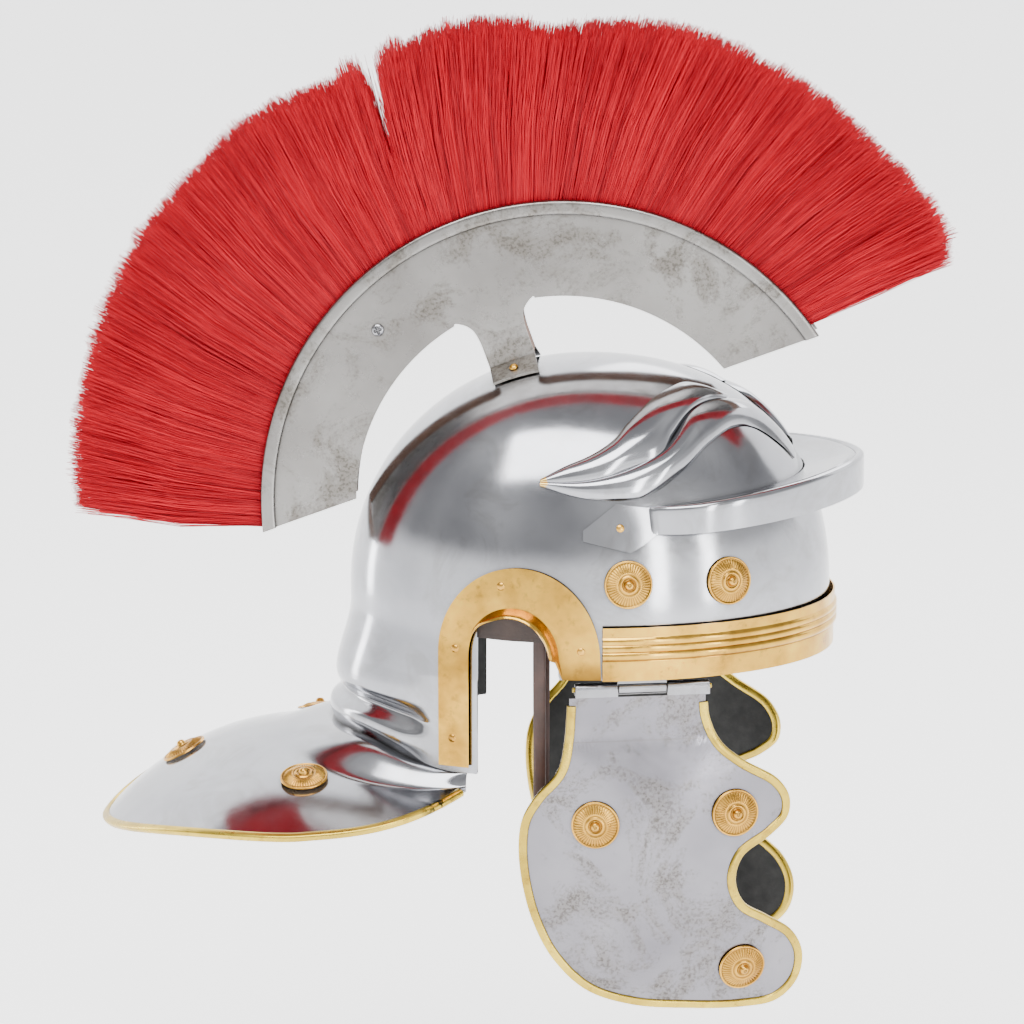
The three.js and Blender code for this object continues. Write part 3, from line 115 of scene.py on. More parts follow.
PEAK_MIDDLE = 50.0
PEAK_REACH = 83.0
PEAK_HALF_WIDTH = 88.0
PEAK_POWER = 1.65
PEAK_START = 28.0
PEAK_START_IN = 7.0
PEAK_LEVEL = 78.5
PEAK_EDGE_SLOPE = 0.11
PEAK_SEAT_SLOPE = 0.073
PEAK_FLANGE = 11.2
PEAK_FLANGE_GROWTH = 0.039
PEAK_BEND = 1.8
ARROW_LENGTH = 36.0
ARROW_HEIGHT = 22.0
ARROW_TIP = (-2.5, 69.2)
ARROW_STAND = 0.5
ARROW_COLUMNS = 40
ARROW_ROWS = 16
ARROW_ALONG = (0, 0.44, 0.62, 0.8, 1)
ARROW_LOW = (-0.11, -0.28, -0.36, -0.2, 0.06)
ARROW_HIGH = (0.11, 0.66, 0.61, 0.57, 0.55)

BROW_PROUD = 4.0
LOBE_COLUMNS = 110
LOBE_ROWS = 26
BROW_UPPER = ((103.4, 0.668), (96.7, 0.709), (89.8, 0.74), (82.6, 0.784), (76, 0.837),
              (64.5, 0.893), (50, 0.922), (29.6, 0.929), (18.5, 0.887))
BROW_MIDDLE = ((103.4, 0.659), (97.7, 0.66), (87.9, 0.674), (78.7, 0.712), (69, 0.747),
               (62.3, 0.806), (51.4, 0.859), (36.8, 0.883), (23.7, 0.878))
BROW_INNER = ((103.4, 0.659), (87.9, 0.674), (69, 0.747), (51.4, 0.859), (36.8, 0.883),
              (23.7, 0.878), (12.8, 0.853), (9, 0.791), (6.4, 0.7075))
BROW_LOWER = ((103.3, 0.649), (90, 0.613), (76.6, 0.614), (63.6, 0.686), (51.5, 0.76),
              (36, 0.8), (24, 0.786), (15.4, 0.715), (11.5, 0.66))

ROSETTE_RADIUS = 11.5
ROSETTE_HEIGHT = 5.0
ROSETTE_RIBS = 44
RIVET_RADIUS = 2.2
RIVET_HEIGHT = 1.7
BROW_ROSETTES = {"bowl_rosette_rear": (19.2, 46.3), "bowl_rosette_front": (67.0, 45.2)}
EAR_RIVETS = ((-40.7, 44.5), (-62.5, 12.4), (-64.0, -31.9), (-3.0, 14.5))
PEAK_RIVET = (15.0, 72.4)
GUARD_ROSETTES = {"neck_rosette_middle": (-200.0, 0.0, 0.0),
                  "neck_rosette_right": (-136.5, -68.0, 0.9),
                  "neck_rosette_left": (-136.5, 68.0, 0.9)}

HINGE_POINT = (25.9, 86.0, -4.8)
HINGE_YAW = 9.6
KNUCKLE_RADIUS = 3.0
PIN_RADIUS = 1.3
PIN_OVERHANG = 1.2
KNUCKLE_HALF = 32.4
KNUCKLE_MIDDLE_HALF = 11.6
KNUCKLE_PLAY = 0.4
LEAF_RISE = 15.0
CHEEK_SPAN = 134.7
CHEEK_DROP = 163.7
CHEEK_CREASE = 0.153
CHEEK_DISH = 8.0
CHEEK_TURN_IN = 11.0
CHEEK_WRAP = 7.0
CHEEK_CORE = (0.104, 0.6)
CHEEK_NOTCH = (0.36, 0.59)
CHEEK_NOTCH_REACH = 0.11
CHEEK_NOTCH_FLARE = 2.6
CHEEK_OUTLINE = ((-0.271, 0.043), (-0.28, 0.15), (-0.305, 0.237), (-0.375, 0.311), (-0.42, 0.385),
                 (-0.432, 0.473), (-0.418, 0.59), (-0.38, 0.706), (-0.31, 0.82), (-0.188, 0.921),
                 (-0.02, 0.972), (0.177, 0.991), (0.38, 1.0), (0.513, 0.987), (0.59, 0.925),
                 (0.605, 0.84), (0.56, 0.765), (0.46, 0.705), (0.37, 0.654), (0.334, 0.58),
                 (0.36, 0.511), (0.466, 0.456), (0.53, 0.405), (0.536, 0.345), (0.49, 0.284),
                 (0.36, 0.218), (0.28, 0.162), (0.239, 0.085), (0.233, 0.043))
CHEEK_ROSETTES = {"rear": (-0.169, 0.4), "front": (0.33, 0.377), "low": (0.3725, 0.8636)}

CREST_CENTRE = (-12.0, 69.7)
CREST_TILT = 20.0
CREST_OUTER = 148.2
CREST_INNER = 101.5
CREST_END_HEIGHT = 35.5
CREST_HALF_THICKNESS = 10.0
RIM_WIDTH = 7.0
RIM_PROUD = 2.4
LEG_WIDTH = 23.0
LEG_FLARE = 5.0
LEG_FOLD = 73.4
FOOT_REACH = 13.0
LEG_FILLET = 9.0
PLATE_STATIONS = 130
RIM_STATIONS = 160
CORE_STATIONS = 150
CORE_PROUD = 1.6
SCREW_RADIUS = 3.1
PLATE_SCREW = (123.8, 27.0)

HAIR_LENGTH = 92.0
HAIR_LEAN = 4.5
HAIR_BASE_HALF = 7.6
HAIR_TIP_HALF = 22.0
HAIR_ENDS = (16.6, 165.6)
HAIR_LOCKS = ((0, 0.8), (0.02, 0.87), (0.07, 0.9), (0.12, 0.91), (0.16, 0.94), (0.2, 0.95),
              (0.24, 0.97), (0.28, 0.99), (0.32, 0.98), (0.36, 0.94), (0.4, 0.91), (0.44, 0.98),
              (0.48, 0.99), (0.52, 0.96), (0.54, 0.89), (0.549, 0.46), (0.558, 0.88), (0.58, 0.93),
              (0.6, 0.97), (0.62, 1), (0.66, 1.04), (0.7, 1.03), (0.75, 1.05), (0.8, 1.06), (0.85, 1.05),
              (0.9, 1.04), (0.95, 1.03), (1, 1))

LINER_LOW = 17.0
LINER_HIGH = 52.0
LINER_THICKNESS = 2.2
STRAP_X = -23.0
STRAP_WIDTH = 6.0
STRAP_THICKNESS = 2.0
STRAP_TOP = 34.0
STRAP_WAIST = -58.0
STRAP_WAIST_HALF = 68.0
STRAP_BOTTOM = -126.0

SEED = 7
LOCKS = 150
HAIR_SUNK = 5.0
FULL_STRANDS = 10400
STRAND_SIDES = 3
# Share of a strand's length, and its width there as a share of the full one.
STRAND_STOPS = ((0.0, 1.0), (0.5, 0.93), (1.0, 0.35))
# Share of a strand's length, and how much lighter it is there: darker near the root as painted shade,
# lighter towards the tip.
STRAND_PAINTED_SHADE = ((0, 0.35, 1), (-0.2, 0.0, 0.12))
# The hidden core's section: share of the hair's length, and place from side to side.
HEART_SECTION = ((0, -0.62), (0.4, -0.6), (0.74, -0.5), (0.8, 0), (0.74, 0.5), (0.4, 0.6), (0, 0.62))


# Small maths

def smooth(value):
    value = np.clip(value, 0.0, 1.0)
    return value * value * (3 - 2 * value)


def step(value, low, high):
    return smooth((np.asarray(value, float) - low) / (high - low))


def ring_angles(count):
    return np.linspace(0, 2 * np.pi, count, endpoint=False)


def angles_round(count):
    """Evenly spaced degrees all round, from -180 to 180, that start at 0."""
    angles = np.arange(count) * 360.0 / count
    return np.where(angles > 180, angles - 360, angles)


def rounded(value, power):
    return np.sign(value) * np.abs(value) ** power


def superellipse(share, power):
    return np.maximum(0.0, 1 - np.minimum(1.0, share) ** power) ** (1 / power)


def through(knots, at):
    """Smooth curve through (place, value) pairs, at any places."""
    x, y = np.array(knots, float).T
    slope = np.gradient(y, x)
    at = np.clip(np.asarray(at, float), x[0], x[-1])
    i = np.clip(np.searchsorted(x, at, side="right") - 1, 0, len(x) - 2)
    run = x[i + 1] - x[i]
    t = (at - x[i]) / run
    a = (1 + 2 * t) * (1 - t) ** 2
    b = t * (1 - t) ** 2
    c = t * t * (3 - 2 * t)
    d = t * t * (t - 1)
    return a * y[i] + b * run * slope[i] + c * y[i + 1] + d * run * slope[i + 1]


def spline(points, count):
    """Evenly spaced points on a Catmull-Rom curve through the given ones."""
    points = np.array(points, float)
    chord = np.linalg.norm(np.diff(points, axis=0), axis=1) ** 0.5
    knots = np.concatenate([[0], np.cumsum(chord)])
    fine = np.linspace(0, knots[-1], 12 * len(points))
    dense = np.stack([through(np.stack([knots, points[:, k]], 1), fine) for k in range(points.shape[1])], 1)
    length = np.concatenate([[0], np.cumsum(np.linalg.norm(np.diff(dense, axis=0), axis=1))])
    even = np.linspace(0, length[-1], count)
    return np.stack([np.interp(even, length, dense[:, k]) for k in range(points.shape[1])], 1)


# The bowl's surface

def side_drop(angle):
    return NAPE_SIDE_DROP * (1 - step(np.abs(angle), *NAPE_SIDE_ANGLES))


def nape_height(drop, angle):
    extra = side_drop(angle) * np.maximum(0, (drop - NAPE_START) / (1 - NAPE_START))
    return WAIST - NAPE_DEPTH * drop * (1 + extra)


def nape_share(height, angle):
    share = (WAIST - height) / NAPE_DEPTH
    extra = np.maximum(side_drop(angle) / (1 - NAPE_START), 1e-6)
    linear = 1 - extra * NAPE_START
    deep = (np.sqrt(np.maximum(0, linear * linear + 4 * extra * share)) - linear) / (2 * extra)
    return np.where(share <= NAPE_START, share, deep)


NAPE_CURVE = list(zip(NAPE_DROPS, NAPE_BULGES))


def bowl_plan(height, angle, off=0.0):
    height, angle = np.broadcast_arrays(np.asarray(height, float), np.asarray(angle, float))
    rise = np.maximum(0, height - WAIST) / (CROWN_RISE + off)
    drop = np.maximum(0, nape_share(height, angle))
    below = np.maximum(0, (drop - NAPE_START) / (1 - NAPE_START))
    start = RIB_HEIGHT * through(NAPE_CURVE, NAPE_START)
    ribbed = RIB_HEIGHT * through(NAPE_CURVE, drop)
    plain = start + (RIB_HEIGHT * NAPE_BULGES[-1] - start) * np.minimum(1, below)
    ribs = np.where(below > 0, step(np.abs(angle), *RIB_FADE_ANGLES), 1.0)
    bulge = plain * (1 - ribs) + ribbed * ribs
    side = np.where(below > 0, bulge - start - NAPE_NARROWING * np.minimum(1, below), 0.0)
    return ((BOWL_FRONT + off) * superellipse(rise, FRONT_POWER),
            (BOWL_BACK + bulge + off) * superellipse(rise, BACK_POWER),
            (BOWL_SIDE + side + off) * superellipse(rise, SIDE_POWER))


def bowl_point(angle, height, off=0.0):
    angle, height = np.broadcast_arrays(np.asarray(angle, float), np.asarray(height, float))
    front, back, side = bowl_plan(height, angle, off)
    along = np.cos(np.radians(angle))
    reach = np.where(along > 0, front, back)
    return np.stack([reach * along, side * np.sin(np.radians(angle)), height], -1)


def bowl_half(x, height, off=0.0):
    x, height = np.broadcast_arrays(np.asarray(x, float), np.asarray(height, float))
    angle = np.where(x < 0, EAR_ANGLE, 60.0)
    half = np.zeros_like(angle)
    for _ in range(6):
        front, back, side = bowl_plan(height, angle, off)
        share = np.minimum(1.0, np.abs(x) / np.where(x > 0, front, back))
        half = side * np.sqrt(1 - share * share)
        angle = np.degrees(np.arccos(np.sign(x) * share))
    return half


def on_right(x, z, off=0.0):
    x, z = np.broadcast_arrays(np.asarray(x, float), np.asarray(z, float))
    return np.stack([x, -bowl_half(x, z, off), z], -1)


def unit(v):
    v = np.asarray(v, float)
    return v / np.maximum(1e-9, np.linalg.norm(v, axis=-1, keepdims=True))


def normal_on_right(x, z):
    along = on_right(x + 1, z) - on_right(x - 1, z)
    up = on_right(x, z + 1) - on_right(x, z - 1)
    return unit(np.cross(along, up))


def mirror(points):
    return np.asarray(points, float) * np.array([1, -1, 1])


def on_side(side, *points):
    """Points of the right side, or their mirror images for the left side."""
    return points if side == "right" else [mirror(spot) for spot in points]


# Meshes

def grid_faces(columns, rows, around=False):
    last = columns if around else columns - 1
    i, j = np.meshgrid(np.arange(last), np.arange(rows - 1), indexing="ij")
    a = i * rows + j
    b = ((i + 1) % columns) * rows + j
    return np.stack([a, b, b + 1, a + 1], -1).reshape(-1, 4).tolist()


class Build:
    """Points and faces that are gathered into one object."""

    def __init__(self):
        self.points = []
        self.faces = []
        self.count = 0

    def add(self, points, faces=()):
        points = np.asarray(points, float).reshape(-1, 3)
        self.points.append(points)
        self.faces += [[k + self.count for k in face] for face in faces]
        self.count += len(points)
        return self

    def grid(self, grid, around=False):
        return self.add(grid, grid_faces(*grid.shape[:2], around))

    def tube(self, rings, closed=False):
        """Rings of points joined in order, rings[i][k], with both ends capped if it isn't closed."""
        rings = np.asarray(rings, float)
        count, size = rings.shape[:2]
        faces = []
        for i in range(count if closed else count - 1):
            a = i * size
            b = ((i + 1) % count) * size
            for k in range(size):
                n = (k + 1) % size
                faces.append([a + k, a + n, b + n, b + k])
        if not closed:
            faces.append(list(range(size))[::-1])
            faces.append([(count - 1) * size + k for k in range(size)])
        return self.add(rings, faces)

    def mirrored(self):
        copy = Build()
        copy.points = [mirror(np.concatenate(self.points))]
        copy.faces = [face[::-1] for face in self.faces]
        copy.count = self.count
        return copy

    def for_side(self, side):
        return self if side == "right" else self.mirrored()


def turned_out(points, faces):
    """The faces of a closed or nearly closed form, all facing out."""
    centre = points.mean(0)
    volume = 0.0
    for face in faces:
        a = points[face[0]] - centre
        for k in range(1, len(face) - 1):
            volume += np.dot(a, np.cross(points[face[k]] - centre, points[face[k + 1]] - centre))
    return faces if volume > 0 else [face[::-1] for face in faces]


def put(name, data):
    """Adds an object with this data to the scene."""
    obj = bpy.data.objects.new(name, data)
    bpy.context.scene.collection.objects.link(obj)
    return obj


def point_values(obj, name, values):
    layer = obj.data.attributes.new(name, "FLOAT", "POINT")
    layer.data.foreach_set("value", np.asarray(values, np.float32))


def piece(name, build, body, materials, replaces=(), wall=None, sharp=35.0, flip=None, place=None):
    """One object in the part's frame. `wall` thickens an open sheet inwards, with the
    last material on its inner face; `flip` turns an open sheet's faces over."""
    points = np.concatenate(build.points)
    faces = build.faces
    if flip is None:
        faces = turned_out(points, faces)
    elif flip:
        faces = [face[::-1] for face in faces]
    mesh = bpy.data.meshes.new(name)
    mesh.from_pydata((points * MM).tolist(), [], faces)
    for material in materials:
        mesh.materials.append(material)
    mesh.polygons.foreach_set("use_smooth", [True] * len(faces))
    mesh.update()
    obj = put(name, mesh)
    if wall:
        thick = obj.modifiers.new("wall", "SOLIDIFY")
        thick.thickness = wall * MM
        thick.offset = -1
        thick.use_rim = True
        thick.material_offset = len(materials) - 1
        thick.material_offset_rim = 0
        settle(obj)
    if sharp:
        obj.data.set_sharp_from_angle(angle=math.radians(sharp))
    if place is not None:
        obj.data.transform(place)
    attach(obj, body)
    if replaces:
        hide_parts(*replaces)
    return obj


def settle(obj):
    """Applies an object's modifiers to its mesh."""
    bpy.context.view_layer.update()
    graph = bpy.context.evaluated_depsgraph_get()
    mesh = bpy.data.meshes.new_from_object(obj.evaluated_get(graph))
    obj.modifiers.clear()
    obj.data = mesh


# Materials

# Rays for the painted shade where pieces meet and in hollows.
CREASE_SHADE_SAMPLES = 6
# Half width of the painted shade line along a fold.
FOLD_SHADE_HALF = 0.45


def colour(hex_text):
    """A colour given as it looks on screen, made linear."""
    values = [int(hex_text[k:k + 2], 16) / 255 for k in (0, 2, 4)]
    return [v / 12.92 if v <= 0.04045 else ((v + 0.055) / 1.055) ** 2.4 for v in values] + [1.0]


class Nodes:
    """A node tree built step by step."""

    def __init__(self, tree, coordinates):
        self.nodes = tree.nodes
        self.links = tree.links
        self.place = self.node("ShaderNodeTexCoord").outputs[coordinates]

    def node(self, kind, feeds=(), **values):
        made = self.nodes.new(kind)
        for key, value in values.items():
            setattr(made, key, value)
        for socket, value in dict(feeds).items():
            self.feed(value, made.inputs[socket])
        return made

    def feed(self, value, socket):
        """Links another node's output to a socket, or sets a plain value on it."""
        if isinstance(value, bpy.types.NodeSocket):
            self.links.new(value, socket)
        else:
            socket.default_value = value

    def noise(self, scale, detail=3.0, rough=0.5, stretch=None, distortion=0.0):
        place = self.place
        if stretch:
            place = self.node("ShaderNodeMapping", {"Scale": stretch, "Vector": place}).outputs["Vector"]
        feeds = {"Scale": scale, "Detail": detail, "Roughness": rough, "Distortion": distortion}
        return self.node("ShaderNodeTexNoise", {**feeds, "Vector": place}).outputs["Fac"]

    def ramp(self, source, stops):
        made = self.node("ShaderNodeValToRGB", {"Fac": source})
        for element, (place, value) in zip(made.color_ramp.elements, stops):
            element.position = place
            element.color = value if isinstance(value, tuple) else (value, value, value, 1)
        return made.outputs["Color"]

    def mix(self, factor, a, b, kind="MIX"):
        feeds = {0: factor, 6: a, 7: b}
        return self.node("ShaderNodeMix", feeds, data_type="RGBA", blend_type=kind).outputs[2]

    def times(self, a, b):
        return self.mix(1.0, a, b, "MULTIPLY")

    def math(self, operation, a, b):
        return self.node("ShaderNodeMath", {0: a, 1: b}, operation=operation).outputs[0]

    def span(self, axis, low, high, rising, **values):
        """0 to 1 between two values of an axis, or 1 to 0 where it isn't rising."""
        split = self.node("ShaderNodeSeparateXYZ", {0: self.place})
        feeds = {"From Min": low, "From Max": high, "To Min": 0.0 if rising else 1.0,
                 "To Max": 1.0 if rising else 0.0, "Value": split.outputs[axis]}
        return self.node("ShaderNodeMapRange", feeds, **values).outputs[0]


class Look(Nodes):
    """A material's nodes, in the object's own coordinates."""

    def __init__(self, name):
        self.material = bpy.data.materials.new(name)
        self.material.use_nodes = True
        super().__init__(self.material.node_tree, "Object")
        self.shader = self.nodes["Principled BSDF"]

    def cloudy(self, grain, low, high, dark, light):
        return self.mix(self.ramp(grain, ((low, 0.0), (high, 1.0))), colour(dark), colour(light))

    def along(self, axis, start, end):
        """0 at one millimetre value of an axis, 1 at the other."""
        low, high = min(start, end) * MM, max(start, end) * MM
        return self.span(axis, low, high, start < end, interpolation_type="SMOOTHSTEP")

    def band(self, axis, low, high):
        """1 between two millimetre values of an axis, fading out at both."""
        middle = (low + high) / 2
        return self.math("MULTIPLY", self.along(axis, low, middle), self.along(axis, high, middle))

    def crease_shade(self, reach):
        """Painted shade: 1 on open faces, falling towards 0 where pieces meet and in hollows."""
        made = self.node("ShaderNodeAmbientOcclusion", {"Distance": reach}, samples=CREASE_SHADE_SAMPLES)
        return self.ramp(made.outputs["AO"], ((0.25, 0.1), (0.86, 1.0)))

    def attribute(self, name):
        return self.node("ShaderNodeAttribute", attribute_name=name).outputs["Fac"]

    def bump(self, height, strength, distance):
        feeds = {"Strength": strength, "Distance": distance, "Height": height}
        self.feed(self.node("ShaderNodeBump", feeds).outputs["Normal"], self.shader.inputs["Normal"])

    def set(self, **values):
        for key, value in values.items():
            self.feed(value, self.shader.inputs[key.replace("_", " ")])


def steel_look(name, light, dark, stain, rough, wave, pits=0.0, crease=None, solder=None):
    """Steel with cloudy tone, stained patches, fine pits and painted shade where pieces meet; `crease` is
    the height of a fold line, drawn as a darker line of painted shade, and `solder` the two X values between
    which brass-coloured solder fades out."""
    look = Look(name)
    cloud = look.noise(14, 4, 0.55)
    blotch = look.noise(30, 7, 0.7, distortion=0.8)
    fine = look.noise(620, 4, 0.65)
    tone = look.cloudy(cloud, 0.35, 0.68, dark, light)
    tone = look.mix(look.ramp(blotch, ((0.5, 0.0), (0.62, stain))), tone, colour("6f6a63"))
    if pits:
        field = look.ramp(blotch, ((0.47, 0.0), (0.62, 1.0)))
        dots = look.ramp(fine, ((0.48, 0.0), (0.6, pits)))
        tone = look.mix(look.times(dots, field), tone, colour("47423b"))
    # painted shade: a patchy darker line along the fold, where the plate bends
    if crease is not None:
        line = look.band("Z", crease - FOLD_SHADE_HALF, crease + FOLD_SHADE_HALF)
        patchy_shade = look.ramp(look.noise(90, 2), ((0.3, 0.2), (0.6, 0.75)))
        tone = look.mix(look.times(line, patchy_shade), tone, colour("6c6866"))
    if solder is not None:
        ragged = look.math("MULTIPLY", look.math("SUBTRACT", look.noise(160, 4, 0.6), 0.5), 0.9)
        near = look.math("ADD", look.along("X", solder[1], solder[0]), ragged)
        tone = look.mix(look.ramp(near, ((0.45, 0.0), (0.55, 0.9))), tone, colour("dcb662"))
    # painted shade: darker where pieces meet and in hollows
    tone = look.mix(look.crease_shade(0.004), colour("35322f"), tone)
    rub = look.ramp(look.noise(90, 5, 0.65), ((0.3, rough * 0.82), (0.75, rough * 1.35)))
    look.set(Base_Color=tone, Metallic=1.0, Roughness=rub)
    look.bump(look.noise(9, 3, 0.5), wave, 0.004)
    return look.material


def brass_look(name, light, dark, rough, wave, burnt=None):
    """Brass with tarnish, dirt and painted shade from an attribute, and painted shade where pieces meet;
    `burnt` gives two X values between which dark specks lie.
    """
    look = Look(name)
    tone = look.cloudy(look.noise(26, 4, 0.6), 0.35, 0.66, dark, light)
    spots = look.ramp(look.noise(150, 5, 0.7), ((0.56, 0.0), (0.7, 0.5)))
    tone = look.mix(spots, tone, colour("7d5822"))
    # dirt at the ear guards' feet, and painted shade at a ledge, in grooves and at rivet edges
    tone = look.mix(look.attribute("grime_and_shade"), tone, colour("4a2e0e"))
    if burnt is not None:
        marks = look.ramp(look.noise(230, 3, 0.6), ((0.5, 0.0), (0.55, 1.0)))
        tone = look.mix(look.times(look.band("X", *burnt), marks), tone, colour("2b2a1e"))
    # painted shade: darker where pieces meet and in hollows
    tone = look.mix(look.crease_shade(0.003), colour("4b361b"), tone)
    rub = look.ramp(look.noise(70, 4, 0.6), ((0.3, rough * 0.8), (0.75, rough * 1.4)))
    look.set(Base_Color=tone, Metallic=1.0, Roughness=rub)
    look.bump(look.noise(40, 3, 0.5), wave, 0.002)
    return look.material


def hair_look(name, tone_light, tone_dark):
    look = Look(name)
    tone = look.mix(look.attribute("shade"), colour(tone_dark), colour(tone_light))
    look.set(Base_Color=tone, Roughness=0.5, Metallic=0.0, Specular_IOR_Level=0.2)
    return look.material


def leather_look(name, light, dark, rough):
    look = Look(name)
    tone = look.cloudy(look.noise(60, 4, 0.6), 0.3, 0.7, dark, light)
    look.set(Base_Color=tone, Roughness=rough, Metallic=0.0)
    look.bump(look.noise(700, 5, 0.6), 0.35, 0.0006)
    return look.material


def wood_look(name):
    look = Look(name)
    grain = look.noise(60, 6, 0.6, stretch=(1.0, 9.0, 1.0))
    look.set(Base_Color=look.cloudy(grain, 0.3, 0.7, "3d2416", "84583a"), Roughness=0.7)
    look.bump(grain, 0.3, 0.001)
    return look.material


def paint_look(name):
    look = Look(name)
    tone = look.cloudy(look.noise(120, 4, 0.6), 0.35, 0.65, "191919", "282827")
    look.set(Base_Color=tone, Roughness=0.5, Specular_IOR_Level=0.25)
    look.bump(look.noise(260, 4, 0.6), 0.25, 0.0008)
    return look.material


CHEEK_FOLD = HINGE_POINT[2] - CHEEK_CREASE * CHEEK_DROP

STEEL = steel_look("polished_steel", "adaeb2", "96979c", 0.2, 0.14, 0.1)
BROW_STEEL = steel_look("brow_steel", "b3b4b8", "9c9da2", 0.2, 0.13, 0.1, solder=(-24.5, -15.5))
DULL_STEEL = steel_look("mottled_steel", "959390", "7b7875", 0.7, 0.28, 0.12, pits=0.6)
CHEEK_STEEL = steel_look("cheek_steel", "8e8c91", "77757b", 0.5, 0.2, 0.16, pits=0.7, crease=CHEEK_FOLD)
HINGE_STEEL = steel_look("hinge_steel", "a4a4a7", "8c8c90", 0.3, 0.22, 0.08)
BRASS_SHEET = brass_look("sheet_brass", "dfb048", "9e7228", 0.18, 0.24)
PIPING_BRASS = brass_look("piping_brass", "d6b949", "a98e35", 0.26, 0.1, burnt=(-82.0, -60.0))
ROSETTE_BRASS = brass_look("rosette_brass", "dfac4a", "b07e34", 0.26, 0.1)
DARK_PAINT = paint_look("dark_inside")
HAIR = hair_look("plume_bristle", "ce0c26", "7c0412")
# painted shade: the hidden core is a darker red that stands for the shade deep among the bristles
HAIR_SHADED_CORE = hair_look("plume_core_shade", "7a0810", "56050a")
LEATHER = leather_look("liner_leather", "3a2b25", "221814", 0.6)
STRAP = leather_look("strap_leather", "45291f", "2b1913", 0.5)
WOOD = wood_look("core_wood")


# Bowl with its nape and neck guard

BOWL_COLUMNS = 288
DOME_ROWS = 64
DOME_TOP_ANGLE = 88.5
RIM_ROWS = 13
NAPE_ROWS = 60
GUARD_ROWS = 46
RIM_ANGLE = 104
EAR_SNAP_X = (-62, -4)
EAR_SNAP_LOW = 0.5
EAR_SNAP_REAR = -30
EAR_SNAP_REACH = 4
PIPING_HEIGHT = WALL + 0.8 + 2 * PIPING_SKIN
PIPING_LAP = PIPING_SKIN + 0.3


def ear_arch(middle, half, rise, rear_foot, front_foot, lean, steps):
    turn = np.pi * (1 - np.arange(steps + 1) / steps)
    arch = np.stack([middle + half * np.cos(turn), EAR_SPRING + rise * np.sin(turn)], 1)
    return np.concatenate([[[middle - half, rear_foot]], arch, [[middle + half + lean, front_foot]]])


def ear_opening():
    arch = ear_arch(EAR_MIDDLE, EAR_HALF, EAR_RISE, -150.0, -150.0, 3.0, 60)
    arch[:, 0] = np.maximum(arch[:, 0], EAR_MIDDLE - EAR_HALF + EAR_REAR_STRIP)
    return arch


def guard_edge(angle):
    """Edge of the neck guard, for angles from the ear round the back."""
    turn = np.abs(angle)
    front = 1 - (turn - EAR_ANGLE) / (GUARD_SWEEP - EAR_ANGLE)
    front = np.clip(front, 0, 1)
    x_front = GUARD_CENTRE + (GUARD_CORNER[0] - GUARD_CENTRE) * front
    y_front = GUARD_HALF_WIDTH - (GUARD_HALF_WIDTH - GUARD_CORNER[1]) * front ** GUARD_FRONT_POWER
    rear = np.radians(90 * np.clip((turn - GUARD_SWEEP) / (180 - GUARD_SWEEP), 0, 1))
    power = 2 / GUARD_REAR_POWER
    x_rear = GUARD_CENTRE - GUARD_REACH * np.sin(rear) ** power
    y_rear = GUARD_HALF_WIDTH * np.maximum(0, np.cos(rear)) ** power
    is_front = turn < GUARD_SWEEP
    side = np.where(angle < 0, -1.0, 1.0)
    return np.where(is_front, x_front, x_rear), side * np.where(is_front, y_front, y_rear)


def guard_height(x, y):
    span = GUARD_CENTRE - GUARD_REACH
    share = np.maximum(0, (GUARD_FALL_START - x) / (GUARD_FALL_START - span))
    droop = GUARD_DROOP + GUARD_DROOP_GROWTH * np.maximum(0, GUARD_CORNER[0] - x)
    return (GUARD_LEVEL - GUARD_FALL * share ** GUARD_FALL_POWER
            - droop * (np.abs(y) / GUARD_HALF_WIDTH) ** GUARD_DROOP_POWER)


def guard_surface(angle, share):
    root = bowl_point(angle, nape_height(1.0, angle))
    x, y = guard_edge(angle)
    px = root[..., 0] + (x - root[..., 0]) * share
    py = root[..., 1] + (y - root[..., 1]) * share
    blend = smooth(share / 0.3)
    pz = root[..., 2] * (1 - blend) + guard_height(px, py) * blend
    return np.stack([px, py, pz], -1)


def inside_outline(x, z, outline):
    hit = np.zeros(x.shape, bool)
    for (x0, z0), (x1, z1) in zip(outline, np.roll(outline, -1, axis=0)):
        crosses = (z0 > z) != (z1 > z)
        with np.errstate(divide="ignore", invalid="ignore"):
            hit ^= crosses & (x < (x1 - x0) * (z - z0) / (z1 - z0) + x0)
    return hit


def nearest_on(outline, x, z):
    best, spot = 1e9, (x, z)
    for a, b in zip(outline[:-1], outline[1:]):
        run = b - a
        t = np.clip(np.dot([x - a[0], z - a[1]], run) / max(1e-9, np.dot(run, run)), 0, 1)
        near = a + run * t
        gap = math.hypot(near[0] - x, near[1] - z)
        if gap < best:
            best, spot = gap, near
    return spot


def bowl_grid(angles, dome, drops, shares):
    grid = []
    for angle in angles:
        skull = bowl_point(angle, dome)
        nape = bowl_point(angle, nape_height(drops, angle))
        flare = guard_surface(np.full(len(shares), angle), shares)
        grid.append(np.concatenate([skull, nape, flare]))
    return np.array(grid)


def open_edge(faces):
    """The points on edges that only one face uses."""
    uses = {}
    for face in faces:
        for a, b in zip(face, face[1:] + face[:1]):
            uses[frozenset((a, b))] = uses.get(frozenset((a, b)), 0) + 1
    return {k for edge, times in uses.items() if times == 1 for k in edge}


